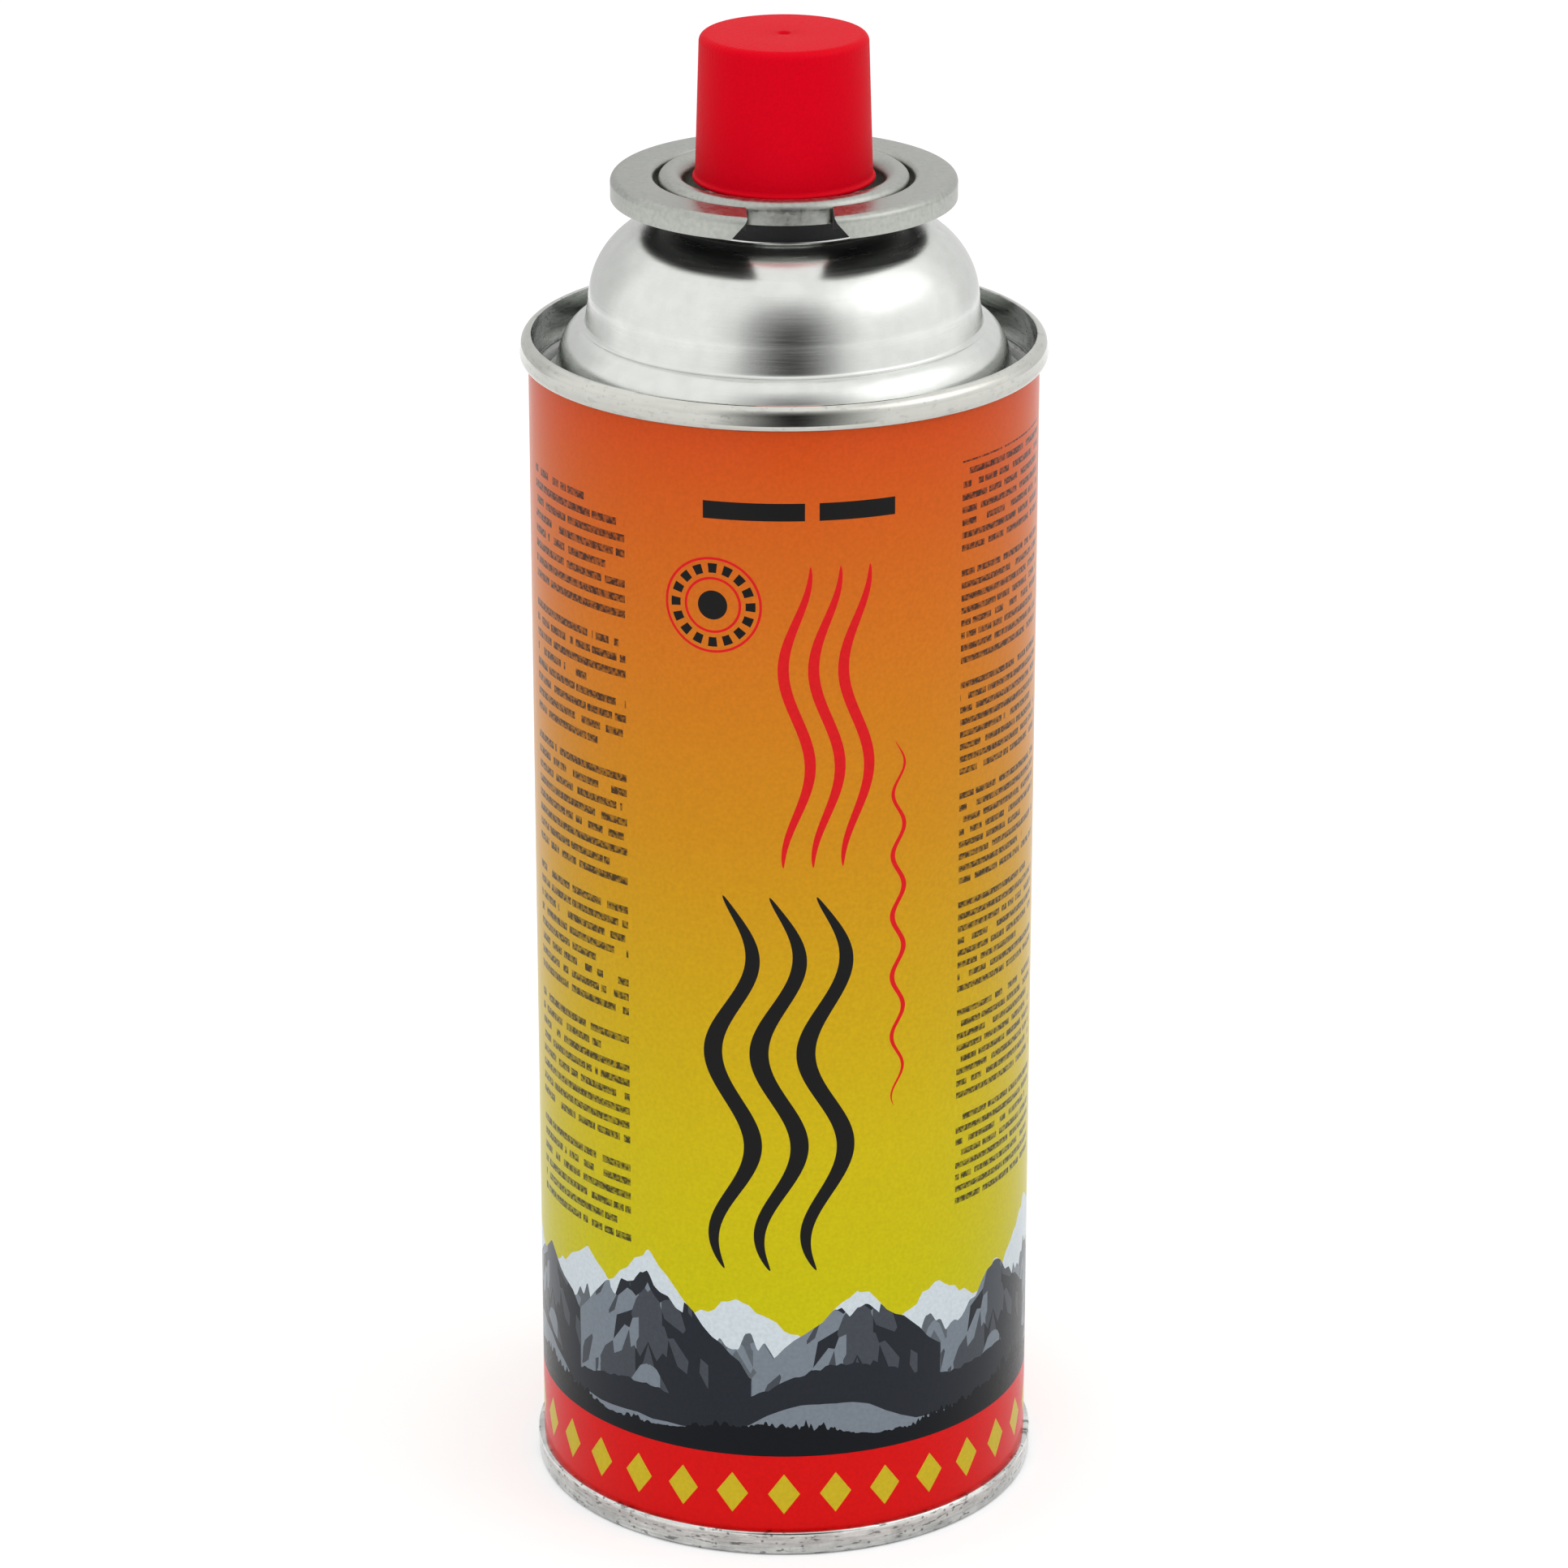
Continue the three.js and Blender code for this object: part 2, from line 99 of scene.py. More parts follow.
# Concave bottom of the can, in mm
BASE_WELL_DEPTH = 4.3
BASE_DOME_RISE = 8.0

# Valve cup, in mm
CURL_TUBE = 1.6
CURL_EDGE = 1.2
CUP_SHEET = 0.35
CUP_WELL_DEPTH = 5.3
CUP_CORNER = 0.8
CUP_LIP_DROP = 1.3
PEDESTAL_RADIUS = 5.6
PEDESTAL_HEIGHT = 5.7
STEM_HOLE_RADIUS = 2.1

# Collar, in mm
COLLAR_SHEET = 0.5
COLLAR_EDGE = 0.9
COLLAR_HEIGHT = 2.9
COLLAR_DROP = 0.4
COLLAR_HOLE_GAP = 0.6
NOTCH_FLARE = 2.0
NOTCH_FLARE_HEIGHT = 2.7

# Valve stem and spring, in mm
STEM_BORE_RADIUS = 0.8
STEM_SHOULDER_RADIUS = 3.0
STEM_SHOULDER_HEIGHT = 2.0
STEM_TAIL_RADIUS = 1.4
STEM_TAIL_LENGTH = 3.2
STEM_TIP = 0.3
SPRING_WIRE = 0.5
SPRING_RADIUS = 2.35
SPRING_TURNS = 5

# Cap, in mm
CAP_RIM_BEAD = 0.35
CAP_TOP_EDGE = 1.0
CAP_WALL = 1.2
CAP_SLEEVE_BORE = 5.75
CAP_SLEEVE_WALL = 1.0
CAP_DIMPLE_RADIUS = 0.9
CAP_DIMPLE_DEPTH = 0.35
CAP_RIBS = 96.0

# Range that a noise pattern mostly keeps to
NOISE = (0.3, 0.7)

# Side of the can that the print faces, in degrees from the front
PRINT_FACING = -2.4

# Sky: its height in mm, and its inks by their share of that height
SKY_HEIGHT = 160
SKY_STOPS = ((0.23, "sky_base"), (0.36, "sky_low"), (0.625, "sky_middle"), (0.79, "sky_high"),
             (0.956, "sky_top"))

# Mountains: rows of place in degrees, height in mm, and slopes on the left and right in mm for each degree
FAR_PEAKS = ((-52, 38, 0.35, 0.42), (-11, 36.5, 0.33, 0.38), (37, 36, 0.42, 0.3), (78, 40, 0.4, 0.36),
             (121, 37, 0.3, 0.4), (163, 39, 0.4, 0.3), (-146, 37, 0.4, 0.42), (-98, 38.5, 0.38, 0.3))
NEAR_PEAKS = ((-71, 35, 0.4, 0.42), (-33, 41, 0.55, 0.62), (17, 37.5, 0.5, 0.5), (58, 35, 0.45, 0.4),
              (98, 39, 0.6, 0.5), (140, 35.5, 0.4, 0.5), (-170, 38, 0.5, 0.5), (-121, 36.5, 0.5, 0.45))
FAR_SNOW_LINE = 28.5
NEAR_SNOW_LINE = 35.0
HILL_HEIGHT = 23.0
SHORE_HEIGHT = 17.0
GROUND_HEIGHT = 17.2

# Faces of rock: the slant of their rows, how they darken for each degree to the right of the peak, and the
# limits below which the middle and the pale tone are laid
ROCK_SLANT = 1.3
ROCK_SHADING = 0.03
ROCK_SHARES = (0.50, 0.12)

# Marks on the print, in mm across from the side that it faces and in mm above the floor
# Columns of rules: left, right, low, high, pitch, and a seed for their lengths
RULE_COLUMNS = ((-42.7, -21.4, 42, 146, 2.0, 3.0), (24.5, 46, 44, 148, 1.66, 60.0))
# Share of the pitch that is inked, rules in a block, the most that a rule falls short and the chance from
# which it does, the noise below which it breaks, and how far apart the noise of two rules lies
RULE_SHARE = 0.5
RULE_BLOCK = 9.0
RULE_SHORT = 9
RULE_SHORT_FROM = 0.72
RULE_GAP = 0.36
RULE_NOISE_STEP = 7.3
# Wavy strokes: centres, low, high, reach, turn, width and ink
WAVES = (((-6.6, -0.6, 5.4), 41, 93, 2.6, 26.0, 1.25, "dark_ink"),
         ((1.6, 5.4, 9.2), 97, 137, 1.7, 26.0, 0.75, "red_ink"),
         ((15.0,), 63, 113, 0.8, 8.3, 0.36, "red_ink"))
# Bars: left, right, low and high
BARS = ((-10.2, 2.6, 143.0, 145.3), (4.4, 14.2, 143.0, 145.3))
# Ring: its centre, two circles and their half line, dashes with the inked share of their step, and a disc
RING_CENTRE = (-9.0, 131.7, 0.0)
RING_RADII = (6.1, 3.5)
RING_LINE = 0.17
RING_DASHES = 16
RING_DASH_SHARE = 4 / 7
RING_DASH_RADIUS = 4.85
RING_DASH_HALF = 0.62
RING_DISC = 1.9
# Lozenges round the band
LOZENGE_COUNT = 30
LOZENGE_HEIGHT = 8.7
LOZENGE_HALF_WIDTH = 2.1
LOZENGE_HALF_HEIGHT = 2.9

# Cards that the metal mirrors: name, place and size in metres, turn in degrees, glow and solid share
CARDS = (
    ("camera_side_card", (0.015, -0.50, 0.15), (0.92, 2.10), (90, 0, 0), 0.02, 0.0),
    ("left_back_card", (-0.32, 0.62, 0.10), (1.30, 1.40), (90, 0, 30), 0.66, 0.4),
    ("right_back_card", (0.32, 0.62, 0.10), (1.30, 1.40), (90, 0, -30), 0.78, 0.4),
    ("right_glow_card", (0.66, -0.15, 0.76), (1.40, 0.95), (50, 0, 77), 1.8, 0.1),
)

# Lamps: name, place and size in metres, power in watts and turn in degrees
LAMPS = (
    ("overhead_softbox", (-0.1, -0.15, 1.2), (1.2, 1.2), 3.6, (0, 0, 0)),
    ("right_softbox", (0.78, -0.20, 0.80), (0.80, 0.55), 1.8, (52, 0, 75)),
    ("front_softbox", (-0.35, -1.25, 0.45), (1.0, 1.0), 3.4, (78, 0, -16)),
)

# Light on the object from the world, and lift of the floor that is seen
WORLD_LIGHT = 0.76
FLOOR_LIFT = 0.32
FLOOR_SIZE = (6.0, 6.0)

# Camera: place in metres, angles in degrees, lens and sensor in mm
CAMERA_AWAY = 0.73958
CAMERA_HEIGHT = 0.37679
CAMERA_PITCH = 20.79
CAMERA_HEADING = 2.4
CAMERA_LENS = 138.5
CAMERA_SENSOR = 36.0


def linear(colour):
    """sRGB hex to linear RGBA: c / 12.92 up to 0.04045, else ((c + 0.055) / 1.055) ^ 2.4."""
    c = np.array([int(colour[i:i + 2], 16) for i in (0, 2, 4)]) / 255
    return (*np.where(c <= 0.04045, c / 12.92, ((c + 0.055) / 1.055) ** 2.4).tolist(), 1.0)


def length(name, description, default):
    """A size in metres for the sidebar, given in mm."""
    return bpy.props.FloatProperty(name=name, description=description, default=default * MM,
                                   min=0.0, precision=5, unit="LENGTH")


def colour(name, description, default):
    """A colour for the sidebar, given as sRGB hex."""
    return bpy.props.FloatVectorProperty(name=name, description=description, default=linear(default),
                                         size=4, min=0.0, max=1.0, subtype="COLOR")


class CartridgeSizes(bpy.types.PropertyGroup):
    """Sizes of the cartridge that a user would change."""

    wall_radius: length("Wall radius", "Outer radius of the printed wall", 32.65)
    seam_radius: length("Top seam radius", "Outer radius of the top seam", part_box("can")[1].x / MM)
    base_seam_radius: length("Base seam radius", "Outer radius of the base seam", 33.5)
    seam_top: length("Top seam height", "Height of the top of the seam above the floor", 158.2)
    groove_depth: length("Groove depth", "Depth of the groove inside the top seam", 6.4)
    curl_radius: length("Curl radius", "Outer radius of the valve cup's curl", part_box("valve_cup")[1].x / MM)
    collar_radius: length("Collar radius", "Outer radius of the locating collar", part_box("collar")[1].x / MM)
    notch_width: length("Notch width", "Width of the notch in the collar", 10.8)
    cap_rim_radius: length("Cap rim radius", "Outer radius of the cap's bead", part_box("cap")[1].x / MM)
    cap_foot_radius: length("Cap foot radius", "Outer radius of the cap above its bead", 11.25)
    cap_top_radius: length("Cap top radius", "Outer radius of the cap at its top", 10.72)
    cap_rim: length("Cap rim height", "Height of the cap's rim above the floor", 177.93)
    cap_top: length("Cap top height", "Height of the cap's top above the floor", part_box("cap")[1].z / MM)
    stem_radius: length("Stem radius", "Radius of the valve stem", 1.9)
    stem_top: length("Stem top height", "Height of the stem's end above the floor",
                     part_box("valve_stem")[1].z / MM)
    band_height: length("Red band height", "Height of the red band's top above the floor", 14.2)


class CartridgeColours(bpy.types.PropertyGroup):
    """Colours of the cartridge that a user would change."""

    sky_top: colour("Print, top", "Ink at the top of the wall", "cc4b16")
    sky_high: colour("Print, upper part", "Ink a quarter of the way down", "cd7016")
    sky_middle: colour("Print, middle", "Ink a little above the middle", "ca8a12")
    sky_low: colour("Print, lower part", "Ink a third of the way up", "c9b40a")
    sky_base: colour("Print, base of the sky", "Ink behind the mountains", "c4bc04")
    snow: colour("Snow", "White fields of the mountains", "ccd6dc")
    pale_rock: colour("Pale rock", "Palest faces of rock, and the water", "77808a")
    far_rock: colour("Far rock", "Darker faces of the far mountains", "5c646a")
    near_rock: colour("Near rock", "Middle faces of the near mountains", "444950")
    hill: colour("Hill", "Dark hill and darkest faces of rock", "23272e")
    ground: colour("Ground", "Ground at the foot of the picture", "0c0f15")
    band: colour("Band", "Band round the foot of the wall", "d60506")
    yellow_ink: colour("Yellow ink", "Lozenges on the band", "c9b020")
    dark_ink: colour("Dark ink", "Dark marks on the wall", "141313")
    red_ink: colour("Red ink", "Red marks on the wall", "d4141a")
    tinplate: colour("Tinplate", "Bright metal of the can's ends", "e4e6e2")
    seam_metal: colour("Top seam metal", "Metal of the top seam", "d8d8d1")
    worn_metal: colour("Worn metal", "Metal of the base seam and of the groove in the top", "eceeeb")
    collar_steel: colour("Collar steel", "Satin metal of the collar and the valve cup", "b4b6b0")
    cap_plastic: colour("Cap plastic", "Moulded plastic of the cap", "d6001a")


# Shapes, in mm


def arc(centre_radius, centre_height, radius, start, stop, rise=None, steps=16):
    """Points of an elliptic arc: centre + (radius cos t, rise sin t), with t in degrees."""
    t = np.radians(np.linspace(start, stop, steps))
    height = centre_height + (radius if rise is None else rise) * np.sin(t)
    return np.column_stack([centre_radius + radius * np.cos(t), height])


def outline(*parts):
    """Line through corners (radius, height, ease) and ready curves. A corner C gives way to
    (1 - t)^2 A + 2 t (1 - t) C + t^2 B, where A and B lie one ease before and after it."""
    rows = np.vstack([np.column_stack([p, np.zeros(len(p))]) if np.ndim(p) == 2 else [p] for p in parts])
    corner, ease = rows[:, :2], rows[:, 2:]
    to_last = np.roll(corner, 1, axis=0) - corner
    to_next = np.roll(corner, -1, axis=0) - corner
    to_last /= np.maximum(np.linalg.norm(to_last, axis=1, keepdims=True), 1e-9)
    to_next /= np.maximum(np.linalg.norm(to_next, axis=1, keepdims=True), 1e-9)
    before = (corner + to_last * ease)[:, None]
    after = (corner + to_next * ease)[:, None]
    t = np.linspace(0, 1, EASE_STEPS)[None, :, None]
    points = ((1 - t) ** 2 * before + 2 * t * (1 - t) * corner[:, None] + t ** 2 * after).reshape(-1, 2)
    apart = np.linalg.norm(points - np.roll(points, 1, axis=0), axis=1)
    return points[apart > 1e-5]


def sheet(face, thickness):
    """Closed section of a pressed sheet: a line, and the same line moved along its left-hand normal.
    At a corner the move is thickness / cos(half the bend), so that both sides stay parallel."""
    step = np.diff(face, axis=0)
    step /= np.linalg.norm(step, axis=1, keepdims=True)
    come, go = np.vstack([step[:1], step]), np.vstack([step, step[-1:]])
    along = (come + go) / np.linalg.norm(come + go, axis=1, keepdims=True)
    normal = np.column_stack([-along[:, 1], along[:, 0]])
    half_bend = (along * go).sum(axis=1, keepdims=True)
    return np.vstack([face, (face + normal * thickness / half_bend)[::-1]])


def skin(rows, across, closed=False):
    """Quads between neighbouring rows, each a closed ring of so many points: (i, j), (i, j + 1),
    (i + 1, j + 1), (i + 1, j). If closed, the last row joins the first."""
    i = np.arange(rows if closed else rows - 1)[:, None] * across
    j = np.arange(across)[None, :]
    on = (j + 1) % across
    up = (i + across) % (rows * across)
    return np.stack([i + j, i + on, up + on, up + j], axis=-1).reshape(-1, 4).tolist()


def poles(rows, across):
    """Triangles that close the first and the last row onto the two points that follow all the rows."""
    first, last = np.arange(across), np.arange(across) + (rows - 1) * across
    low = np.column_stack([np.full(across, rows * across), np.roll(first, -1), first])
    high = np.column_stack([np.full(across, rows * across + 1), last, np.roll(last, -1)])
    return low.tolist() + high.tolist()


def turned(profile, columns):
    """Surface of revolution: (r_i sin a_j, -r_i cos a_j, z_i), with a_j = 2 pi j / columns - pi, 0 in front.
    A profile with both ends on the axis closes in two poles, and any other closes on itself."""
    poled = profile[0, 0] < 1e-6 and profile[-1, 0] < 1e-6
    rings = profile[1:-1] if poled else profile
    a = 2 * np.pi * np.arange(columns) / columns - np.pi
    grid = np.stack([np.outer(rings[:, 0], np.sin(a)), np.outer(rings[:, 0], -np.cos(a)),
                     np.repeat(rings[:, 1:], columns, axis=1)], axis=-1)
    points, faces = grid.reshape(-1, 3), skin(len(rings), columns, not poled)
    if poled:
        points = np.vstack([points, [0, 0, profile[0, 1]], [0, 0, profile[-1, 1]]])
        faces += poles(len(rings), columns)
    return points, faces


def notched(section, half_width, columns):
    """Section carried round the axis and cut by a notch at the front.
    Point (i, j) stands at the angle a_j + (2 pi - 2 a_j) u_i, where a_j = asin(half width / r_j)."""
    start = np.arcsin(half_width / section[:, 0])
    u = np.linspace(0, 1, columns)[:, None]
    a = start + (2 * np.pi - 2 * start) * u
    points = np.stack([section[:, 0] * np.sin(a), -section[:, 0] * np.cos(a),
                       np.broadcast_to(section[:, 1], a.shape)], axis=-1).reshape(-1, 3)
    count = len(section)
    k = np.arange(count // 2 - 1)
    near_end = np.column_stack([k, count - 1 - k, count - 2 - k, k + 1])
    far_end = near_end[:, ::-1] + (columns - 1) * count
    return points, skin(columns, count) + near_end.tolist() + far_end.tolist()


def coil(radius, wire, low, high, turns, steps, sides=12):
    """Round wire along a helix: centre line (R sin a, -R cos a, low + (high - low) u), and round it
    wire * (cos t * outward + sin t * up). Both ends close on a centre point."""
    u = np.linspace(0, 1, steps)
    a = 2 * np.pi * turns * u
    outward = np.column_stack([np.sin(a), -np.cos(a), np.zeros(steps)])
    line = outward * radius + np.outer(low + (high - low) * u, [0, 0, 1])
    t = 2 * np.pi * np.arange(sides) / sides
    ring = outward[:, None] * np.cos(t)[None, :, None] + np.array([0, 0, 1]) * np.sin(t)[None, :, None]
    points = np.vstack([(line[:, None] + wire * ring).reshape(-1, 3), line[:1], line[-1:]])
    return points, skin(steps, sides) + poles(steps, sides)


def make_piece(name, shape, materials, body, *nodes, slot=None, sharp=40):
    """Puts a shape in mm into a mesh in metres, faces outwards, and lets it ride on its body, in place of the
    nodes."""
    points, faces = shape
    mesh = bpy.data.meshes.new(name)
    mesh.from_pydata((points * MM).tolist(), [], faces)
    mesh.validate()
    corners = np.zeros(len(mesh.loops), dtype=np.int32)
    mesh.loops.foreach_get("vertex_index", corners)
    mesh.calc_loop_triangles()
    triangles = np.zeros(len(mesh.loop_triangles) * 3, dtype=np.int32)
    mesh.loop_triangles.foreach_get("vertices", triangles)
    a, b, c = points[triangles.reshape(-1, 3)].transpose(1, 0, 2)
    if (a * np.cross(b, c)).sum() < 0:
        mesh.flip_normals()
    mesh.shade_smooth()
    mesh.set_sharp_from_angle(angle=math.radians(sharp))
    for material in materials:
        mesh.materials.append(material)
    made = bpy.data.objects.new(name, mesh)
    bpy.context.scene.collection.objects.link(made)
    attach(made, body)
    if nodes:
        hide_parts(*nodes)
    return made


def given(context):
    """Sizes and colours of the sidebar, and the heights and radii in mm that follow from the sizes."""
    sizes = context.scene.cartridge_sizes
    h = SimpleNamespace()
    h.wall = sizes.wall_radius / MM
    h.seam = sizes.seam_radius / MM
    h.seam_top = sizes.seam_top / MM
    h.seam_base = h.seam_top - TOP_SEAM_HEIGHT
    h.groove = h.seam - SEAM_THICKNESS
    h.groove_floor = h.seam_top - sizes.groove_depth / MM
    h.skirt = h.groove - GROOVE_WIDTH
    h.skirt_foot = h.groove_floor + GROOVE_WIDTH / 3
    h.crease_radius = h.skirt - SKIRT_WIDTH
    h.crease = h.skirt_foot + SKIRT_HEIGHT
    h.shoulder = h.crease_radius - SHOULDER_DRAFT
    h.shoulder_base = h.crease + SHOULDER_WALL_HEIGHT
    h.neck_base = h.shoulder_base + SHOULDER_RISE
    h.curl = sizes.curl_radius / MM
    h.curl_centre = h.neck_base + NECK_HEIGHT
    h.curl_top = h.curl_centre + CURL_TUBE
    h.curl_middle = h.curl - CURL_TUBE
    h.well = h.curl_middle - CURL_TUBE
    h.well_floor = h.curl_top - CUP_WELL_DEPTH
    h.neck_bore = h.well + CUP_SHEET + 0.1
    h.neck = h.neck_bore + NECK_WALL
    h.pedestal_top = h.well_floor + PEDESTAL_HEIGHT
    h.collar = sizes.collar_radius / MM
    h.collar_top = h.curl_top - COLLAR_DROP
    h.collar_base = h.collar_top - COLLAR_HEIGHT
    h.collar_hole = h.curl + COLLAR_HOLE_GAP
    h.lip = h.curl_centre - CUP_LIP_DROP
    return sizes, context.scene.cartridge_colours, h


# Lines of the printed picture, in mm above the floor against degrees from the side that the print faces


def jagged(angle, step, depth, seed):
    """Straight lines between random heights from 0 to depth, one each step degrees, closed round the can."""
    knots = np.arange(0, 360, step)
    values = np.random.default_rng(seed).uniform(0, depth, len(knots))
    return np.interp(angle % 360, knots, values, period=360)


def mountains(angle, peaks):
    """Height of the ridge, and degrees from its nearest peak: at each angle the highest of the lines
    height - slope * degrees away, over rows of (place, height, slope on the left, slope on the right)."""
    peaks = np.array(peaks)
    away = (angle[:, None] - peaks[:, 0] + 180) % 360 - 180
    line = peaks[:, 1] - np.where(away < 0, peaks[:, 2], peaks[:, 3]) * np.abs(away)
    top = line.argmax(axis=1)
    rows = np.arange(len(angle))
    return line[rows, top], away[rows, top]


def picture_lines(wall):
    """Gives the wall's points the heights of the picture's lines, which the print compares with its height.
    Snow reaches down by a share of the ridge's height over its snow line and by a jagged line, and hill,
    shore and ground are level lines with sines of the angle and jagged lines laid on them."""
    points = np.zeros(len(wall.data.vertices) * 3)
    wall.data.vertices.foreach_get("co", points)
    points = points.reshape(-1, 3)
    angle = np.degrees(np.arctan2(points[:, 0], -points[:, 1])) - PRINT_FACING
    far, far_away = mountains(angle, FAR_PEAKS)
    near, near_away = mountains(angle, NEAR_PEAKS)
    far += jagged(angle, 1.6, 0.9, 3)
    near += jagged(angle, 2.2, 1.1, 5)
    far_snow = far - np.maximum(far - FAR_SNOW_LINE, 0) * 0.5 - jagged(angle, 1.5, 3.5, 7)
    near_snow = near - np.maximum(near - NEAR_SNOW_LINE, 0) * 0.4
    near_snow -= jagged(angle, 1.9, 2.2, 11) * (near > NEAR_SNOW_LINE + 0.5)
    a = np.radians(angle)
    hill = HILL_HEIGHT + 2.6 * np.sin(a * 3 + 0.7) + 1.4 * np.sin(a * 7) + jagged(angle, 1.2, 0.5, 13)
    shore = SHORE_HEIGHT + 4.6 * np.maximum(np.sin(a * 4 + 0.9), 0) + jagged(angle, 4, 0.6, 23)
    trees = jagged(angle, 0.375, 2.4, 17) * jagged(angle, 7, 1.0, 19)
    ground = GROUND_HEIGHT + np.sin(a * 5 + 2) + trees
    lines = {"far_ridge": far, "far_snow": far_snow, "far_side": far_away, "near_ridge": near,
             "near_snow": near_snow, "near_side": near_away, "hill_line": hill, "shore_line": shore,
             "ground_line": ground}
    for name, values in lines.items():
        attribute = wall.data.attributes.new(name, "FLOAT", "POINT")
        attribute.data.foreach_set("value", values.astype(np.float32))


# Finishes


def join(tree, node, inputs):
    """Fills inputs by index or name, each with a value, a socket, or a node that gives its first output."""
    for key, value in (inputs.items() if isinstance(inputs, dict) else enumerate(inputs)):
        if isinstance(value, bpy.types.Node):
            value = value.outputs[0]
        if isinstance(value, bpy.types.NodeSocket):
            tree.links.new(value, node.inputs[key])
        else:
            node.inputs[key].default_value = value


def add(tree, kind, inputs=(), stops=(), **settings):
    """Adds a node of the kind, with its settings, its colour stops and its inputs."""
    node = tree.nodes.new("ShaderNode" + kind)
    for name, value in settings.items():
        setattr(node, name, value)
    for index, (place, tone) in enumerate(stops):
        element = node.color_ramp.elements[index] if index < 2 else node.color_ramp.elements.new(place)
        element.position, element.color = place, tone
    join(tree, node, inputs)
    return node


def new_material(name):
    """An empty node material with its tree and shader, or (material, None, None) if it is there already."""
    material = bpy.data.materials.get(name)
    if material:
        return material, None, None
    material = bpy.data.materials.new(name)
    material.use_nodes = True
    tree = material.node_tree
    return material, tree, tree.nodes["Principled BSDF"]


def finish(tree, shader, base, tone, roughness, relief, depth, strength):
    """Gives the shader the base colour times the tone, the roughness, and a relief of that depth in mm, which
    it returns."""
    toned = add(tree, "VectorMath", {0: base, "Scale": tone}, operation="SCALE")
    bump = add(tree, "Bump", {"Height": relief, "Distance": depth * MM, "Strength": strength})
    join(tree, shader, {"Base Color": toned, "Roughness": roughness, "Normal": bump})
    return bump


def lay_ink(tree, under, ink, *masks):
    """The ink over the colour under it, by the product of its masks."""
    share = masks[0]
    for mask in masks[1:]:
        share = add(tree, "Math", [share, mask], operation="MULTIPLY")
    return add(tree, "Mix", {0: share, 6: under, 7: ink}, data_type="RGBA").outputs[2]


def window(tree, across, height, left, right, low, high):
    """1 inside the rectangle from left to right and from low to high, else 0."""
    sides = [add(tree, "Math", [place, (start + end) / 2, (end - start) / 2], operation="COMPARE")
             for place, start, end in ((across, left, right), (height, low, high))]
    return add(tree, "Math", sides, operation="MULTIPLY")


def below_line(tree, height, line):
    """1 where the wall is lower than the picture's line of that name, else 0."""
    read = add(tree, "Attribute", attribute_name=line)
    return add(tree, "Math", [height, read.outputs["Fac"]], operation="LESS_THAN")


def rock(tree, tones, side, height, scale, seed):
    """Faces of rock in three tones: cells of a Voronoi pattern whose rows run down both sides of the peak."""
    away = add(tree, "Math", [side], operation="ABSOLUTE")
    slant = add(tree, "Math", [away, ROCK_SLANT, height], operation="MULTIPLY_ADD")
    place = add(tree, "CombineXYZ", [slant, height, seed])
    cells = add(tree, "TexVoronoi", {"Vector": place, "Scale": scale}, feature="F1").outputs["Color"]
    chance = add(tree, "SeparateColor", [cells])
    shade = add(tree, "Math", [side, ROCK_SHADING, chance], operation="MULTIPLY_ADD")
    middle, pale = (add(tree, "Math", [shade, share], operation="LESS_THAN") for share in ROCK_SHARES)
    return lay_ink(tree, lay_ink(tree, tones[2][:], tones[1][:], middle), tones[0][:], pale)


def picture(tree, inks, height, sizes):
    """Sky, mountains in two depths with snow and faces of rock, a pale water, hill, ground and band."""
    level = add(tree, "Math", [height, 1 / SKY_HEIGHT], operation="MULTIPLY")
    now = add(tree, "ValToRGB", [level], stops=[
        (share, getattr(inks, name)[:]) for share, name in SKY_STOPS]).outputs[0]
    far_tones = (inks.pale_rock, inks.pale_rock, inks.far_rock)
    near_tones = (inks.pale_rock, inks.near_rock, inks.hill)
    for rank, tones, scale, seed in (("far", far_tones, 0.30, 4.0), ("near", near_tones, 0.24, 9.0)):
        side = add(tree, "Attribute", attribute_name=rank + "_side").outputs["Fac"]
        stone = rock(tree, tones, side, height, scale, seed)
        mountain = lay_ink(tree, inks.snow[:], stone, below_line(tree, height, rank + "_snow"))
        now = lay_ink(tree, now, mountain, below_line(tree, height, rank + "_ridge"))
    for ink, line in ((inks.hill, "hill_line"), (inks.pale_rock, "shore_line"), (inks.ground, "ground_line")):
        now = lay_ink(tree, now, ink[:], below_line(tree, height, line))
    band = add(tree, "Math", [height, sizes.band_height / MM], operation="LESS_THAN")
    return lay_ink(tree, now, inks.band[:], band)


def lozenges(tree, across, height, wall_radius):
    """A row of plain lozenges round the band: |across| / half width + |height| / half height < 1."""
    spacing = 2 * math.pi * wall_radius / LOZENGE_COUNT
    beside = add(tree, "Math", [across, spacing / 2], operation="PINGPONG")
    off = add(tree, "Math", [height, LOZENGE_HEIGHT], operation="SUBTRACT")
    above = add(tree, "Math", [off], operation="ABSOLUTE")
    far = add(tree, "Math", [beside, 1 / LOZENGE_HALF_WIDTH], operation="MULTIPLY")
    total = add(tree, "Math", [above, 1 / LOZENGE_HALF_HEIGHT, far], operation="MULTIPLY_ADD")
    return add(tree, "Math", [total, 1.0], operation="LESS_THAN")


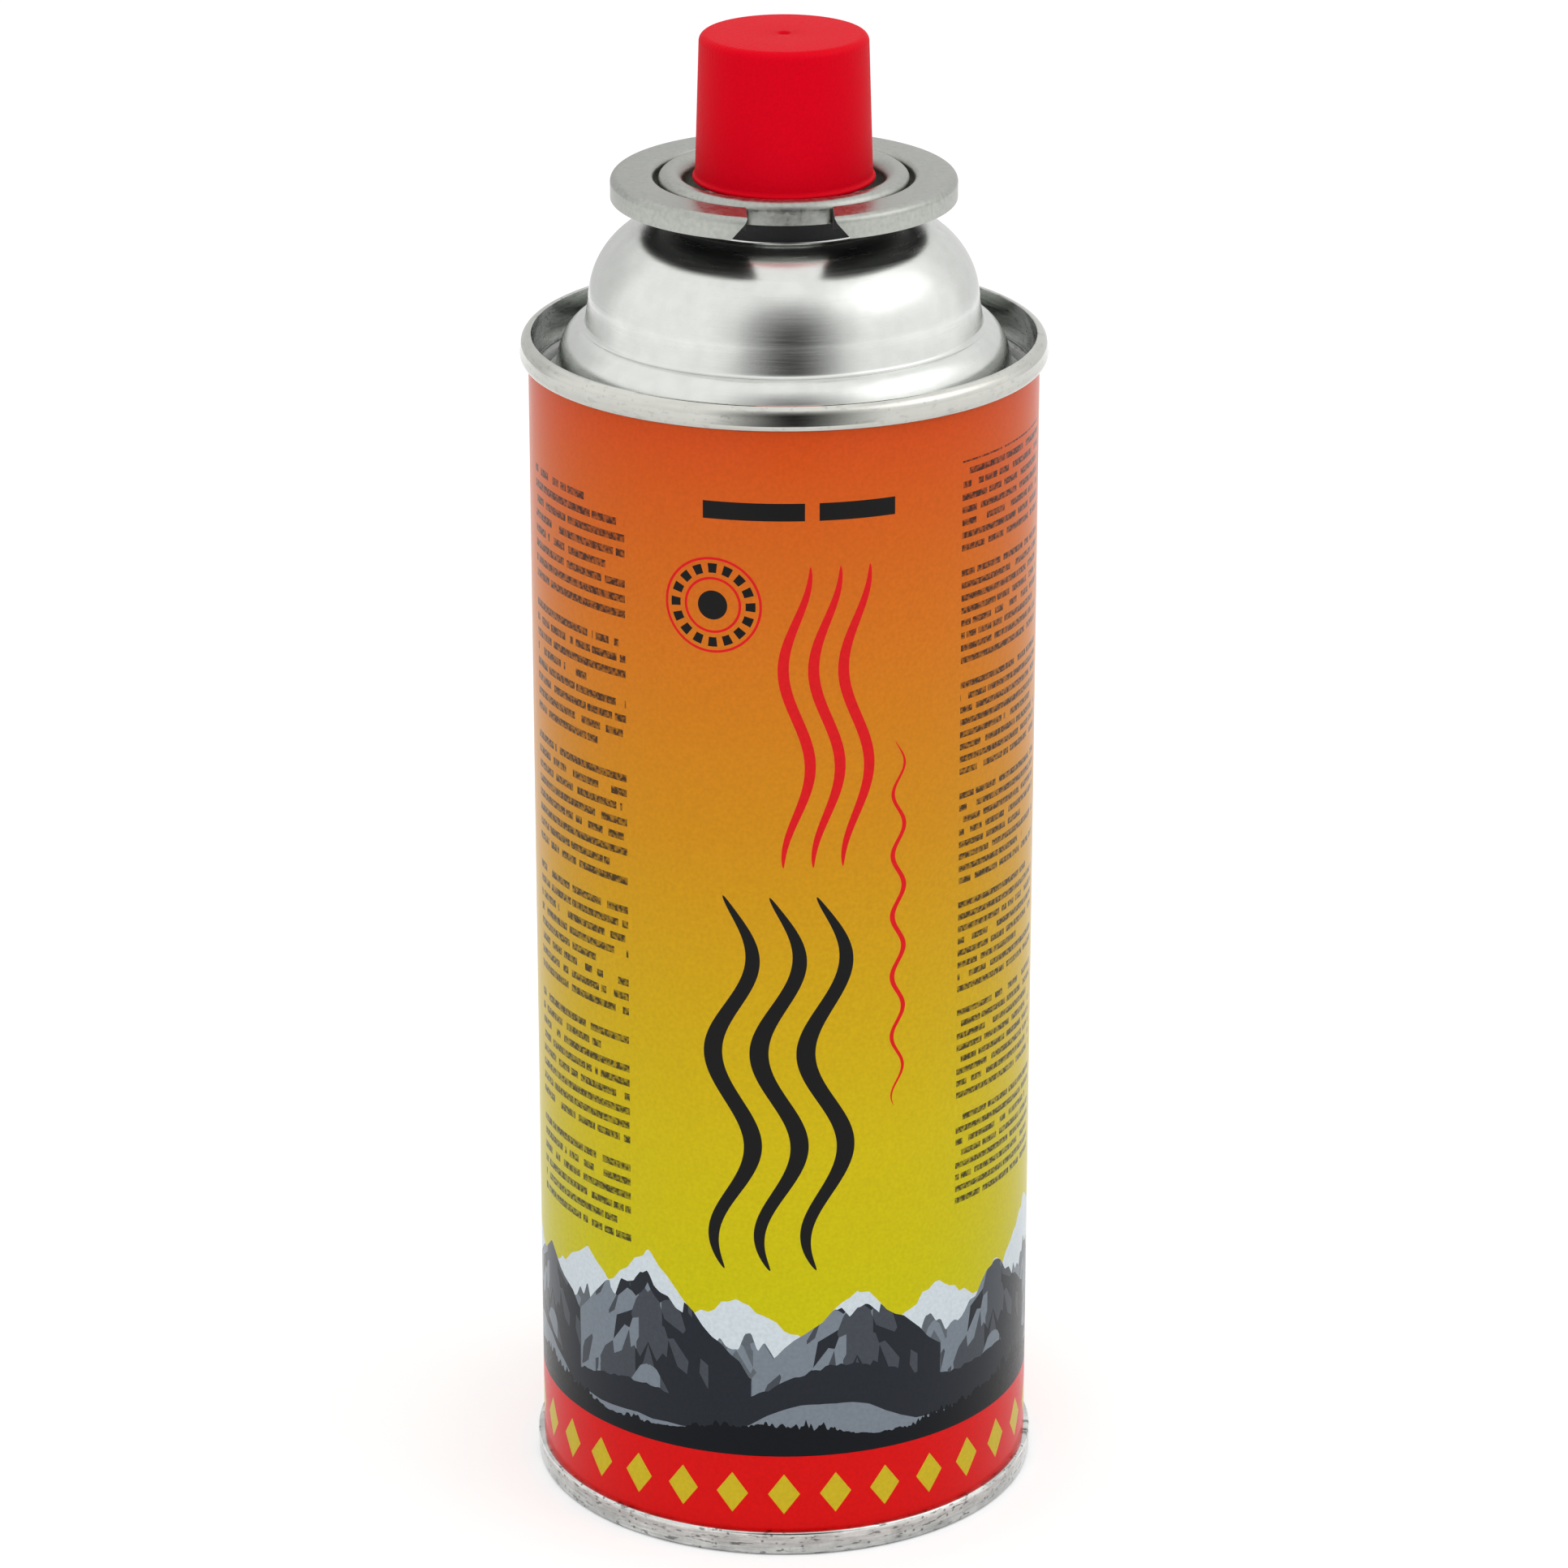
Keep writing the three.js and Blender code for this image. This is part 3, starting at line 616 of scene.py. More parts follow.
def rules(tree, across, height, left, right, low, high, pitch, seed):
    """Masks of a column of fine rules, one each pitch: its rectangle, the rules, their ends, which move left
    by a random length, the blocks, with one rule left out between two, and the gaps, where a noise is low."""
    row = add(tree, "Math", [height, 1 / pitch], operation="MULTIPLY")
    number = add(tree, "Math", [row], operation="FLOOR")
    part = add(tree, "Math", [row], operation="FRACT")
    drawn = add(tree, "Math", [part, RULE_SHARE], operation="LESS_THAN")
    chance = add(tree, "TexWhiteNoise", {"W": add(tree, "Math", [number, seed])}, noise_dimensions="1D")
    short = add(tree, "MapRange", [chance.outputs["Value"], RULE_SHORT_FROM, 1.0, right, right - RULE_SHORT])
    ends = add(tree, "Math", [across, short], operation="LESS_THAN")
    block = add(tree, "Math", [number, RULE_BLOCK], operation="MODULO")
    full = add(tree, "Math", [block, 0.5], operation="GREATER_THAN")
    apart = add(tree, "Math", [number, RULE_NOISE_STEP], operation="MULTIPLY")
    place = add(tree, "CombineXYZ", [across, apart])
    gaps = add(tree, "TexNoise", {"Vector": place, "Scale": 0.5, "Detail": 1.0}, noise_dimensions="2D")
    unbroken = add(tree, "Math", [gaps, RULE_GAP], operation="GREATER_THAN")
    return window(tree, across, height, left, right, low, high), drawn, ends, full, unbroken


def wave(tree, across, height, centre, low, high, reach, turn, width):
    """An upright wavy stroke that thins to its ends: |across - centre - reach sin(2 pi height / turn)| is
    less than width * sqrt(1 - ((height - middle) / half length)^2)."""
    phase = add(tree, "Math", [height, 2 * math.pi / turn], operation="MULTIPLY")
    swing = add(tree, "Math", [phase], operation="SINE")
    line = add(tree, "Math", [swing, reach, centre], operation="MULTIPLY_ADD")
    off = add(tree, "Math", [across, line], operation="SUBTRACT")
    apart = add(tree, "Math", [off], operation="ABSOLUTE")
    along = add(tree, "MapRange", [height, low, high, -1.0, 1.0])
    square = add(tree, "Math", [along, 2.0], operation="POWER")
    rest = add(tree, "Math", [1.0, square], operation="SUBTRACT")
    taper = add(tree, "Math", [rest], operation="SQRT")
    half = add(tree, "Math", [taper, width], operation="MULTIPLY")
    return add(tree, "Math", [apart, half], operation="LESS_THAN")


def ring_marks(tree, across, height):
    """Masks of two plain circles, and of a disc with a ring of dashes between the circles."""
    place = add(tree, "CombineXYZ", [across, height])
    arrow = add(tree, "VectorMath", [place, RING_CENTRE], operation="SUBTRACT")
    apart = add(tree, "VectorMath", [arrow], operation="LENGTH").outputs[1]
    edges = [add(tree, "Math", [apart, radius, RING_LINE], operation="COMPARE") for radius in RING_RADII]
    circles = add(tree, "Math", edges, operation="MAXIMUM")
    part = add(tree, "SeparateXYZ", [arrow])
    angle = add(tree, "Math", [part.outputs[1], part.outputs[0]], operation="ARCTAN2")
    step = add(tree, "Math", [angle, math.pi / RING_DASHES], operation="PINGPONG")
    dash = add(tree, "Math", [step, RING_DASH_SHARE * math.pi / RING_DASHES], operation="LESS_THAN")
    ring = add(tree, "Math", [apart, RING_DASH_RADIUS, RING_DASH_HALF], operation="COMPARE")
    dashes = add(tree, "Math", [ring, dash], operation="MULTIPLY")
    disc = add(tree, "Math", [apart, RING_DISC], operation="LESS_THAN")
    return circles, add(tree, "Math", [dashes, disc], operation="MAXIMUM")


def printed_tinplate(sizes, inks):
    """Offset litho ink on tinplate under clear varnish: flat inks with a fine grain, and a smooth gloss."""
    material, tree, shader = new_material("varnished_litho_tinplate")
    if tree is None:
        return material
    where = add(tree, "TexCoord").outputs["Object"]
    split = add(tree, "SeparateXYZ", [where])
    front = add(tree, "Math", [split.outputs[1], -1.0], operation="MULTIPLY")
    angle = add(tree, "Math", [split.outputs[0], front], operation="ARCTAN2")
    wall = sizes.wall_radius / MM
    across = add(tree, "Math", [angle, wall, -math.radians(PRINT_FACING) * wall], operation="MULTIPLY_ADD")
    height = add(tree, "Math", [split.outputs[2], 1 / MM], operation="MULTIPLY")
    now = picture(tree, inks, height, sizes)
    now = lay_ink(tree, now, inks.yellow_ink[:], lozenges(tree, across, height, wall))
    # Rules broken up by an unevenness of 0.5 mm, as small type looks from afar
    uneven = add(tree, "TexNoise", {"Vector": where, "Scale": 1 / (0.5 * MM), "Detail": 1.0})
    faint = add(tree, "MapRange", [uneven, 0.35, 0.6, 0.4, 0.92])
    for column in RULE_COLUMNS:
        now = lay_ink(tree, now, inks.dark_ink[:], *rules(tree, across, height, *column), faint)
    for centres, *form, ink in WAVES:
        for centre in centres:
            now = lay_ink(tree, now, getattr(inks, ink)[:], wave(tree, across, height, centre, *form))
    circles, dashes = ring_marks(tree, across, height)
    now = lay_ink(tree, now, inks.red_ink[:], circles)
    now = lay_ink(tree, now, inks.dark_ink[:], dashes)
    for bar in BARS:
        now = lay_ink(tree, now, inks.dark_ink[:], window(tree, across, height, *bar))
    # Ink grain of about 0.5 mm, drawn coarser than the real 0.1 mm screen so that it shows
    grain = add(tree, "TexNoise", {"Vector": where, "Scale": 1 / (0.5 * MM), "Detail": 3.0})
    tone = add(tree, "MapRange", [grain, *NOISE, 0.93, 1.06])
    rough = add(tree, "MapRange", [grain, *NOISE, 0.36, 0.46])
    # Waviness of the rolled sheet, about 6 mm long and a few hundredths deep
    swell = add(tree, "TexNoise", {"Vector": where, "Scale": 1 / (6 * MM), "Detail": 1.0})
    bump = finish(tree, shader, now, tone, rough, swell, 0.03, 0.5)
    join(tree, shader, {"Coat Normal": bump})
    shader.inputs["Specular IOR Level"].default_value = 0.05
    shader.inputs["Coat Weight"].default_value = 0.42
    shader.inputs["Coat IOR"].default_value = 1.25
    shader.inputs["Coat Roughness"].default_value = 0.12
    return material


def bright_tinplate(inks):
    """Tinplate drawn in a press: mirror-like tin with a faint haze and fine lines round the drawn form."""
    material, tree, shader = new_material("drawn_bright_tinplate")
    if tree is None:
        return material
    where = add(tree, "TexCoord").outputs["Object"]
    # Draw lines round the axis, 0.25 mm apart in height, and blotches of tin 3 mm wide
    stretch = add(tree, "Mapping", {0: where, "Scale": (0.03, 0.03, 1.0)})
    lines = add(tree, "TexNoise", {"Vector": stretch, "Scale": 1 / (0.25 * MM), "Detail": 2.0})
    cloud = add(tree, "TexNoise", {"Vector": where, "Scale": 1 / (3 * MM), "Detail": 4.0})
    tone = add(tree, "MapRange", [cloud, *NOISE, 0.94, 1.03])
    rough = add(tree, "MapRange", [lines, *NOISE, 0.2, 0.28])
    finish(tree, shader, inks.tinplate[:3], tone, rough, lines, 0.01, 0.35)
    shader.inputs["Metallic"].default_value = 1.0
    return material


def seam_tinplate(name, metal, wear, low, high, dull):
    """Tinplate rubbed by the seaming rolls: a soft shine, with grey smears, dark dashes and specks as it
    wears. Its tone also carries painted shade: the share dull at the height low, and full from the height
    high, both in mm, with a painted contact shadow in its lowest 0.4 mm."""
    material, tree, shader = new_material(name)
    if tree is None:
        return material
    where = add(tree, "TexCoord").outputs["Object"]
    height = add(tree, "SeparateXYZ", [where]).outputs[2]
    # Rolled streaks 0.35 mm high, dashes 0.5 mm high and 1.7 mm long, specks 1.3 mm apart and smears of 4 mm
    long = add(tree, "Mapping", {0: where, "Scale": (0.08, 0.08, 1.0)})
    streak = add(tree, "TexNoise", {"Vector": long, "Scale": 1 / (0.35 * MM), "Detail": 3.0})
    short = add(tree, "Mapping", {0: where, "Scale": (0.3, 0.3, 1.0)})
    mark = add(tree, "TexNoise", {"Vector": short, "Scale": 1 / (0.5 * MM), "Detail": 4.0})
    smear = add(tree, "TexNoise", {"Vector": where, "Scale": 1 / (4 * MM), "Detail": 5.0, "Roughness": 0.7})
    speck = add(tree, "TexVoronoi", {"Vector": where, "Scale": 1 / (1.3 * MM)}).outputs["Distance"]
    level = 1.0
    for pattern, *spread in (
        (speck, 0.09, 0.2, 1 - 0.6 * wear, 1.0),
        (mark, 0.34, 0.42, 1 - 0.6 * wear, 1.0),
        (streak, *NOISE, 1 - 0.25 * wear, 1 + 0.08 * wear),
        (smear, *NOISE, 1 - 0.3 * wear, 1 + 0.12 * wear),
        # Painted shade: the tone falls to the share dull towards the lower part of the seam or groove
        (height, low * MM, high * MM, dull, 1.0),
        # Painted contact shadow at the foot: its lowest 0.4 mm is darker
        (height, 0.1 * MM, 0.4 * MM, 0.3, 1.0),
    ):
        tone = add(tree, "MapRange", [pattern, *spread])
        level = add(tree, "Math", [level, tone], operation="MULTIPLY")
    rough = add(tree, "MapRange", [streak, *NOISE, 0.08, 0.13 + 0.08 * wear])
    finish(tree, shader, metal[:3], level, rough, level, 0.02, 0.4)
    shader.inputs["Metallic"].default_value = 1.0
    return material


def grained(name, base, roughness, metallic, grain_mm, detail=3.0, tones=(0.88, 1.06), depth=0.02,
            strength=0.3):
    """One plain colour, its tone and roughness varying with a grain of that size, which is its relief too."""
    material, tree, shader = new_material(name)
    if tree is None:
        return material
    where = add(tree, "TexCoord").outputs["Object"]
    grain = add(tree, "TexNoise", {"Vector": where, "Scale": 1 / (grain_mm * MM), "Detail": detail})
    tone = add(tree, "MapRange", [grain, *NOISE, *tones])
    rough = add(tree, "MapRange", [grain, *NOISE, roughness - 0.05, roughness + 0.08])
    finish(tree, shader, base[:3], tone, rough, grain, depth, strength)
    shader.inputs["Metallic"].default_value = metallic
    return material


def satin_steel(inks):
    """Thick steel strip stamped and tumbled: satin grey with soft 0.6 mm marks, duller than the tinplate."""
    return grained("tumbled_satin_steel", inks.collar_steel, 0.32, 1.0, 0.6,
                   detail=4.0, tones=(0.86, 1.08), depth=0.03, strength=0.5)


def red_plastic(sizes, inks):
    """Injection-moulded polypropylene: waxy satin red, with spark-eroded grain and fine ribs near the top."""
    material, tree, shader = new_material("moulded_polypropylene")
    if tree is None:
        return material
    where = add(tree, "TexCoord").outputs["Object"]
    split = add(tree, "SeparateXYZ", [where])
    grain = add(tree, "TexNoise", {"Vector": where, "Scale": 1 / (0.35 * MM), "Detail": 3.0})
    tone = add(tree, "MapRange", [grain, *NOISE, 0.94, 1.05])
    rough = add(tree, "MapRange", [grain, *NOISE, 0.42, 0.55])
    front = add(tree, "Math", [split.outputs[1], -1.0], operation="MULTIPLY")
    angle = add(tree, "Math", [split.outputs[0], front], operation="ARCTAN2")
    # Ribs 0.7 mm apart in the top 3 mm of the side
    turns = add(tree, "Math", [angle, CAP_RIBS], operation="MULTIPLY")
    rib = add(tree, "Math", [turns], operation="SINE")
    top = sizes.cap_top
    fade = add(tree, "MapRange", [split.outputs[2], top - 3.2 * MM, top - 1.2 * MM, 0.0, 0.3])
    relief = add(tree, "Math", [rib, fade, grain], operation="MULTIPLY_ADD")
    finish(tree, shader, inks.cap_plastic[:3], tone, rough, relief, 0.05, 0.5)
    shader.inputs["Specular IOR Level"].default_value = 0.04
    shader.inputs["Subsurface Weight"].default_value = 0.05
    shader.inputs["Subsurface Radius"].default_value = (1.5 * MM, 0.4 * MM, 0.3 * MM)
    shader.inputs["Subsurface Scale"].default_value = 1.0
    return material


# Operators, one for each piece or group of pieces


class CARTRIDGE_OT_wall(bpy.types.Operator):
    """Make the printed wall of the can"""

    bl_idname = "cartridge.wall"
    bl_label = "Can wall"

    def execute(self, context):
        sizes, inks, h = given(context)
        inner = h.wall - CAN_SHEET
        low, high = BASE_SEAM_HEIGHT - 0.2, h.seam_base + 0.2
        section = outline((h.wall, low, 0), (h.wall, high, 0), (inner, high, 0), (inner, low, 0))
        wall = make_piece("can_wall", turned(section, WALL_COLUMNS), [printed_tinplate(sizes, inks)],
                          "vessel", "can", slot="printed_tinplate")
        picture_lines(wall)
        return {"FINISHED"}


class CARTRIDGE_OT_ends(bpy.types.Operator):
    """Make the domed top end and the concave base end, each with its double seam"""

    bl_idname = "cartridge.ends"
    bl_label = "Can ends"

    def execute(self, context):
        sizes, inks, h = given(context)
        # Painted shade on the neck under the curl, where the recess is dark: a dull black with a fine grain
        neck_painted_shade = grained("neck_sealing_compound", linear("0e0e0f"), 0.5, 0.0, 0.5)
        bright = bright_tinplate(inks)
        inner = h.wall - CAN_SHEET
        bead = CURL_TUBE - CUP_SHEET - 0.5
        groove_middle = (h.groove + h.skirt) / 2
        hem = h.seam_base + SEAM_HEM_HEIGHT
        hem_top = h.seam_top - SEAM_HEM_DROP
        top = outline(
            (inner, h.seam_base, 0),
            arc(h.seam - SEAM_HEM_CURL, hem, SEAM_HEM_CURL, -80, 0, hem - h.seam_base, 16),
            arc(h.groove + SEAM_HEM_LIP, hem + SEAM_HEM_WALL, SEAM_THICKNESS - SEAM_HEM_LIP - SEAM_HEM_LEAN,
                4, 90, hem_top - hem - SEAM_HEM_WALL, 32),
            arc(h.groove + SEAM_HEM_LIP, hem_top - SEAM_HEM_LIP, SEAM_HEM_LIP, 90, 180, steps=6),
            arc(groove_middle, h.skirt_foot, GROOVE_WIDTH / 2, 0, -180, GROOVE_WIDTH / 3, 24),
            arc(h.crease_radius, h.skirt_foot, SKIRT_WIDTH, 0, 84, SKIRT_HEIGHT, 24),
            (h.crease_radius, h.crease, 0.5),
            (h.shoulder, h.shoulder_base, 0),
            arc(h.neck, h.shoulder_base, h.shoulder - h.neck, 4, 88, SHOULDER_RISE, 32),
            (h.neck, h.neck_base, 0.4),
            (h.neck, h.curl_centre - bead, 0),
            arc(h.curl_middle, h.curl_centre, bead, -60, 180),
            (h.neck_bore, h.curl_centre - bead, 0),
            (h.neck_bore, h.neck_base - 0.5, 0.3),
            arc(h.neck, h.shoulder_base, h.shoulder - h.neck - CAN_SHEET, 86, 0,
                SHOULDER_RISE - CAN_SHEET, 24),
            (h.crease_radius - CAN_SHEET, h.crease, 0.3),
            arc(h.crease_radius, h.skirt_foot, SKIRT_WIDTH - CAN_SHEET, 80, 0, SKIRT_HEIGHT - CAN_SHEET, 16),
            arc(groove_middle, h.skirt_foot, GROOVE_WIDTH / 2 + CAN_SHEET, -170, -90,
                GROOVE_WIDTH / 3 + CAN_SHEET, 12),
            (inner, h.groove_floor - CAN_SHEET, 0.2),
        )
        # The top seam and the groove carry painted shade, each darker towards its lower part, the groove most
        # at its floor
        top_end = make_piece("top_end", turned(top, METAL_COLUMNS),
                             [bright,
                              seam_tinplate("rolled_seam_tinplate", inks.seam_metal, 0.2,
                                            h.seam_base + 0.3, h.seam_base + 2.5, 0.7),
                              neck_painted_shade,
                              seam_tinplate("worked_groove_tinplate", inks.worn_metal, 0.6,
                                            h.groove_floor, h.seam_top + 3, 0.4)],
                             "vessel", "can", slot="bright_tinplate")
        well = sizes.base_seam_radius / MM - SEAM_THICKNESS
        rim = well - 1.0
        r = np.linspace(0, rim, 28)
        dome = np.column_stack([r, BASE_WELL_DEPTH + BASE_DOME_RISE * (1 - (r / rim) ** 2)])
        base = outline(
            dome,
            (well, BASE_WELL_DEPTH, 0.9),
            (well, 0, SEAM_EDGE),
            (sizes.base_seam_radius / MM - BASE_SEAM_LEAN, 0, SEAM_EDGE),
            (sizes.base_seam_radius / MM, BASE_SEAM_HEIGHT, 0.5),
            (inner, BASE_SEAM_HEIGHT, 0),
            (inner, BASE_WELL_DEPTH + CAN_SHEET + 0.4, 0),
            (dome + [0, CAN_SHEET])[::-1],
        )
        # The base seam has real scuffs and painted shade: full tone from 3.2 mm, the share 0.68 at 2.6 mm and
        # below, and a painted contact shadow at the foot
        base_end = make_piece("base_end", turned(base, METAL_COLUMNS),
                              [bright, seam_tinplate("scuffed_seam_tinplate", inks.worn_metal, 1.0,
                                                     BASE_SEAM_HEIGHT - 0.8, BASE_SEAM_HEIGHT - 0.2, 0.68)],
                              "vessel", "can", slot="bright_tinplate")
        # The seams take the rolled finish, the neck its painted black shade and the groove its worn finish
        # with
        #         painted shade, and the other drawn forms keep the bright one
        for made, inside in ((top_end, h.groove + 0.05), (base_end, well + 0.05)):
            polygons = made.data.polygons
            centre = np.zeros(len(polygons) * 3)
            polygons.foreach_get("center", centre)
            out = np.hypot(*centre.reshape(-1, 3)[:, :2].T) / MM
            above = centre[2::3] / MM
            at_neck = (out < h.neck + 0.05) & (above > h.neck_base + 0.6)
            slot = np.where(out > inside, 1, np.where(at_neck, 2, 0))
            if made is top_end:
                slot[(out > groove_middle) & (out <= inside + 0.1) & (above > h.groove_floor - 0.1)] = 3
            polygons.foreach_set("material_index", slot.astype(np.int32))
        return {"FINISHED"}


class CARTRIDGE_OT_collar(bpy.types.Operator):
    """Make the locating collar with its notch"""

    bl_idname = "cartridge.collar"
    bl_label = "Locating collar"

    def execute(self, context):
        sizes, inks, h = given(context)
        foot = h.lip - 0.1 - COLLAR_SHEET
        face = outline(
            (h.neck + 0.1, foot, 0),
            (h.collar_hole + COLLAR_SHEET, foot, 0.2),
            (h.collar_hole + COLLAR_SHEET, h.collar_top - COLLAR_SHEET, 0.15),
            arc(h.collar - COLLAR_EDGE, h.collar_top - COLLAR_EDGE, COLLAR_EDGE - COLLAR_SHEET, 90, 0),
            (h.collar - COLLAR_SHEET, h.collar_base, 0),
        )
        section = sheet(face, COLLAR_SHEET)
        flare = np.clip((h.collar_base + NOTCH_FLARE_HEIGHT - section[:, 1]) / NOTCH_FLARE_HEIGHT, 0, 1)
        at_skirt = section[:, 0] > h.collar - COLLAR_EDGE
        half_width = sizes.notch_width / MM / 2 + at_skirt * NOTCH_FLARE * flare ** 1.3
        # Painted shade for the collar's underside, where it overhangs the dome: a dark grey with a half-dull
        # shine
        dark = grained("oiled_black_strip", linear("3a3b3a"), 0.45, 1.0, 0.6)
        collar = make_piece("collar_ring", notched(section, half_width, COLLAR_COLUMNS),
                            [satin_steel(inks), dark], "vessel", "collar", slot="pressed_steel")
        # The collar's underside takes the painted shade
        polygons = collar.data.polygons
        underside = np.zeros(len(polygons), dtype=np.int32)
        row = np.arange(len(section) * (COLLAR_COLUMNS - 1)) % len(section)
        underside[:len(row)] = row < len(face) - 1
        polygons.foreach_set("material_index", underside)
        edge = collar.modifiers.new("Stamped edge", "BEVEL")
        edge.width = 0.1 * MM
        edge.segments = 2
        edge.limit_method = "ANGLE"
        edge.angle_limit = math.radians(50)
        return {"FINISHED"}


class CARTRIDGE_OT_valve(bpy.types.Operator):
    """Make the valve cup, stem and spring, and finish the gaskets and housing"""

    bl_idname = "cartridge.valve"
    bl_label = "Valve"

    def execute(self, context):
        sizes, inks, h = given(context)
        lip = h.curl - CUP_SHEET
        lip_face = h.lip + CUP_SHEET
        face = outline(
            (lip - CUP_SHEET, lip_face, 0),
            (lip, lip_face, 0),
            (lip, h.curl_centre, 0),
            arc(h.curl - CURL_EDGE, h.curl_top - CURL_EDGE, CURL_EDGE - CUP_SHEET, 0, 90),
            arc(h.curl_middle, h.curl_centre, CURL_TUBE - CUP_SHEET, 90, 180),
            arc(h.well - CUP_CORNER, h.well_floor + CUP_CORNER, CUP_CORNER + CUP_SHEET, 0, -90),
            arc(PEDESTAL_RADIUS + CUP_CORNER, h.well_floor + CUP_CORNER, CUP_CORNER + CUP_SHEET, -90, -180),
            arc(PEDESTAL_RADIUS - CUP_CORNER, h.pedestal_top - CUP_CORNER, CUP_CORNER - CUP_SHEET, 0, 90),
            (STEM_HOLE_RADIUS, h.pedestal_top - CUP_SHEET, 0),
        )
        make_piece("cup_pressing", turned(sheet(face, -CUP_SHEET), METAL_COLUMNS), [satin_steel(inks)],
                   "vessel", "valve_cup", slot="bright_tinplate")
        # Acetal turned from rod: off-white, with a satin shine
        acetal = grained("turned_acetal", linear("e8e6dc"), 0.45, 0.0, 0.8)
        # Nitrile rubber moulded under heat: nearly black and dull, with a very fine grain
        rubber = grained("moulded_nitrile_rubber", linear("1d1d1e"), 0.75, 0.0, 0.3)
        # Steel wire drawn through a die: bright grey with a clear shine
        wire = grained("drawn_spring_wire", linear("a9abac"), 0.28, 1.0, 0.4)
        low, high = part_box("valve_stem")
        stem_radius, stem_top = sizes.stem_radius / MM, sizes.stem_top / MM
        shoulder = low.z / MM + STEM_TAIL_LENGTH
        bore_floor = h.pedestal_top - 1.5
        stem = outline(
            (0, low.z / MM, 0),
            (STEM_TAIL_RADIUS, low.z / MM, 0.3),
            (STEM_TAIL_RADIUS, shoulder, 0),
            (STEM_SHOULDER_RADIUS, shoulder, 0.2),
            (STEM_SHOULDER_RADIUS, shoulder + STEM_SHOULDER_HEIGHT, 0.2),
            (stem_radius, shoulder + STEM_SHOULDER_HEIGHT, 0.1),
            (stem_radius, stem_top, STEM_TIP),
            (STEM_BORE_RADIUS, stem_top, 0.15),
            (STEM_BORE_RADIUS, bore_floor, 0),
            (0, bore_floor, 0),
        )
        make_piece("stem_pin", turned(stem, VALVE_COLUMNS), [acetal],
                   "stem", "valve_stem", slot="white_plastic")
        spring_low, spring_high = (corner.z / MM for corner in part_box("valve_spring"))
        half = SPRING_WIRE / 2
        shape = coil(SPRING_RADIUS, half, spring_low + half, spring_high - half,
                     SPRING_TURNS, SPRING_TURNS * 36)
        spring = make_piece("coil_spring", shape, [wire], "vessel", "valve_spring", slot="spring_wire")
        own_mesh(spring)
        for name, material in (("cup_gasket", rubber), ("stem_gasket", rubber), ("valve_housing", acetal)):
            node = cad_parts[name]
            node.data.materials.clear()
            node.data.materials.append(material)
        return {"FINISHED"}


class CARTRIDGE_OT_cap(bpy.types.Operator):
    """Make the push-on cap"""

    bl_idname = "cartridge.cap"
    bl_label = "Cap"

    def execute(self, context):
        sizes, inks, h = given(context)
        rim, top = sizes.cap_rim / MM, sizes.cap_top / MM
        bead_radius, foot, head = (value / MM for value in
                                   (sizes.cap_rim_radius, sizes.cap_foot_radius, sizes.cap_top_radius))
        ceiling = top - CAP_WALL
        sleeve_foot = h.well_floor + CUP_CORNER
        profile = outline(
            (0, top - CAP_DIMPLE_DEPTH, 0),
            (CAP_DIMPLE_RADIUS * 0.6, top - CAP_DIMPLE_DEPTH, 0.15),
            (CAP_DIMPLE_RADIUS, top, 0.2),
            arc(head - CAP_TOP_EDGE, top - CAP_TOP_EDGE, CAP_TOP_EDGE, 90, 0),
            (foot, rim + CAP_RIM_BEAD * 2.5, 0.2),
            arc(bead_radius - CAP_RIM_BEAD, rim + CAP_RIM_BEAD, CAP_RIM_BEAD, 70, -90),
            (foot - CAP_WALL, rim, 0.2),
            (head - CAP_WALL, ceiling, 0.6),
            (CAP_SLEEVE_BORE + CAP_SLEEVE_WALL, ceiling, 0.3),
            (CAP_SLEEVE_BORE + CAP_SLEEVE_WALL, sleeve_foot, 0.25),
            (CAP_SLEEVE_BORE, sleeve_foot, 0.25),
            (CAP_SLEEVE_BORE, ceiling, 0.3),
            (0, ceiling, 0),
        )
        make_piece("push_on_cap", turned(profile, METAL_COLUMNS), [red_plastic(sizes, inks)],
                   "cap", "cap", slot="red_plastic")
        return {"FINISHED"}


class CARTRIDGE_OT_stage(bpy.types.Operator):
    """Make the floor, the cards that the metal mirrors, the lamps, the world and the camera"""

    bl_idname = "cartridge.stage"
    bl_label = "Stage"

    def execute(self, context):
        scene = context.scene
        scene.view_settings.view_transform = "Standard"
        floor = flat("floor", (0, 0, 0), FLOOR_SIZE, (0, 0, 0))
        floor.data.materials.append(floor_paint())
        for name, place, size, turn, glow, solid in CARDS:
            card = flat(name, place, size, turn)
            card.data.materials.append(card_paint(name, glow, size, solid))
            card.visible_camera = card.visible_diffuse = False
            card.visible_shadow = card.visible_transmission = False
        for name, place, size, power, turn in LAMPS:
            lamp = bpy.data.lights.new(name, "AREA")
            lamp.shape = "RECTANGLE"
            lamp.size, lamp.size_y = size
            lamp.energy = power
            holder = bpy.data.objects.new(name, lamp)
            holder.location = place
            holder.rotation_euler = [math.radians(value) for value in turn]
            holder.visible_glossy = False
            scene.collection.objects.link(holder)
        studio_world(scene)
        camera = bpy.data.cameras.new("camera")
        camera.sensor_width = CAMERA_SENSOR
        camera.lens = CAMERA_LENS
        camera.clip_start, camera.clip_end = 0.05, 20.0
        holder = bpy.data.objects.new("camera", camera)
        heading = math.radians(CAMERA_HEADING)
        holder.location = (-CAMERA_AWAY * math.sin(heading), -CAMERA_AWAY * math.cos(heading), CAMERA_HEIGHT)
        holder.rotation_euler = (math.radians(90 - CAMERA_PITCH), 0, -heading)
        scene.collection.objects.link(holder)
        scene.camera = holder
        return {"FINISHED"}


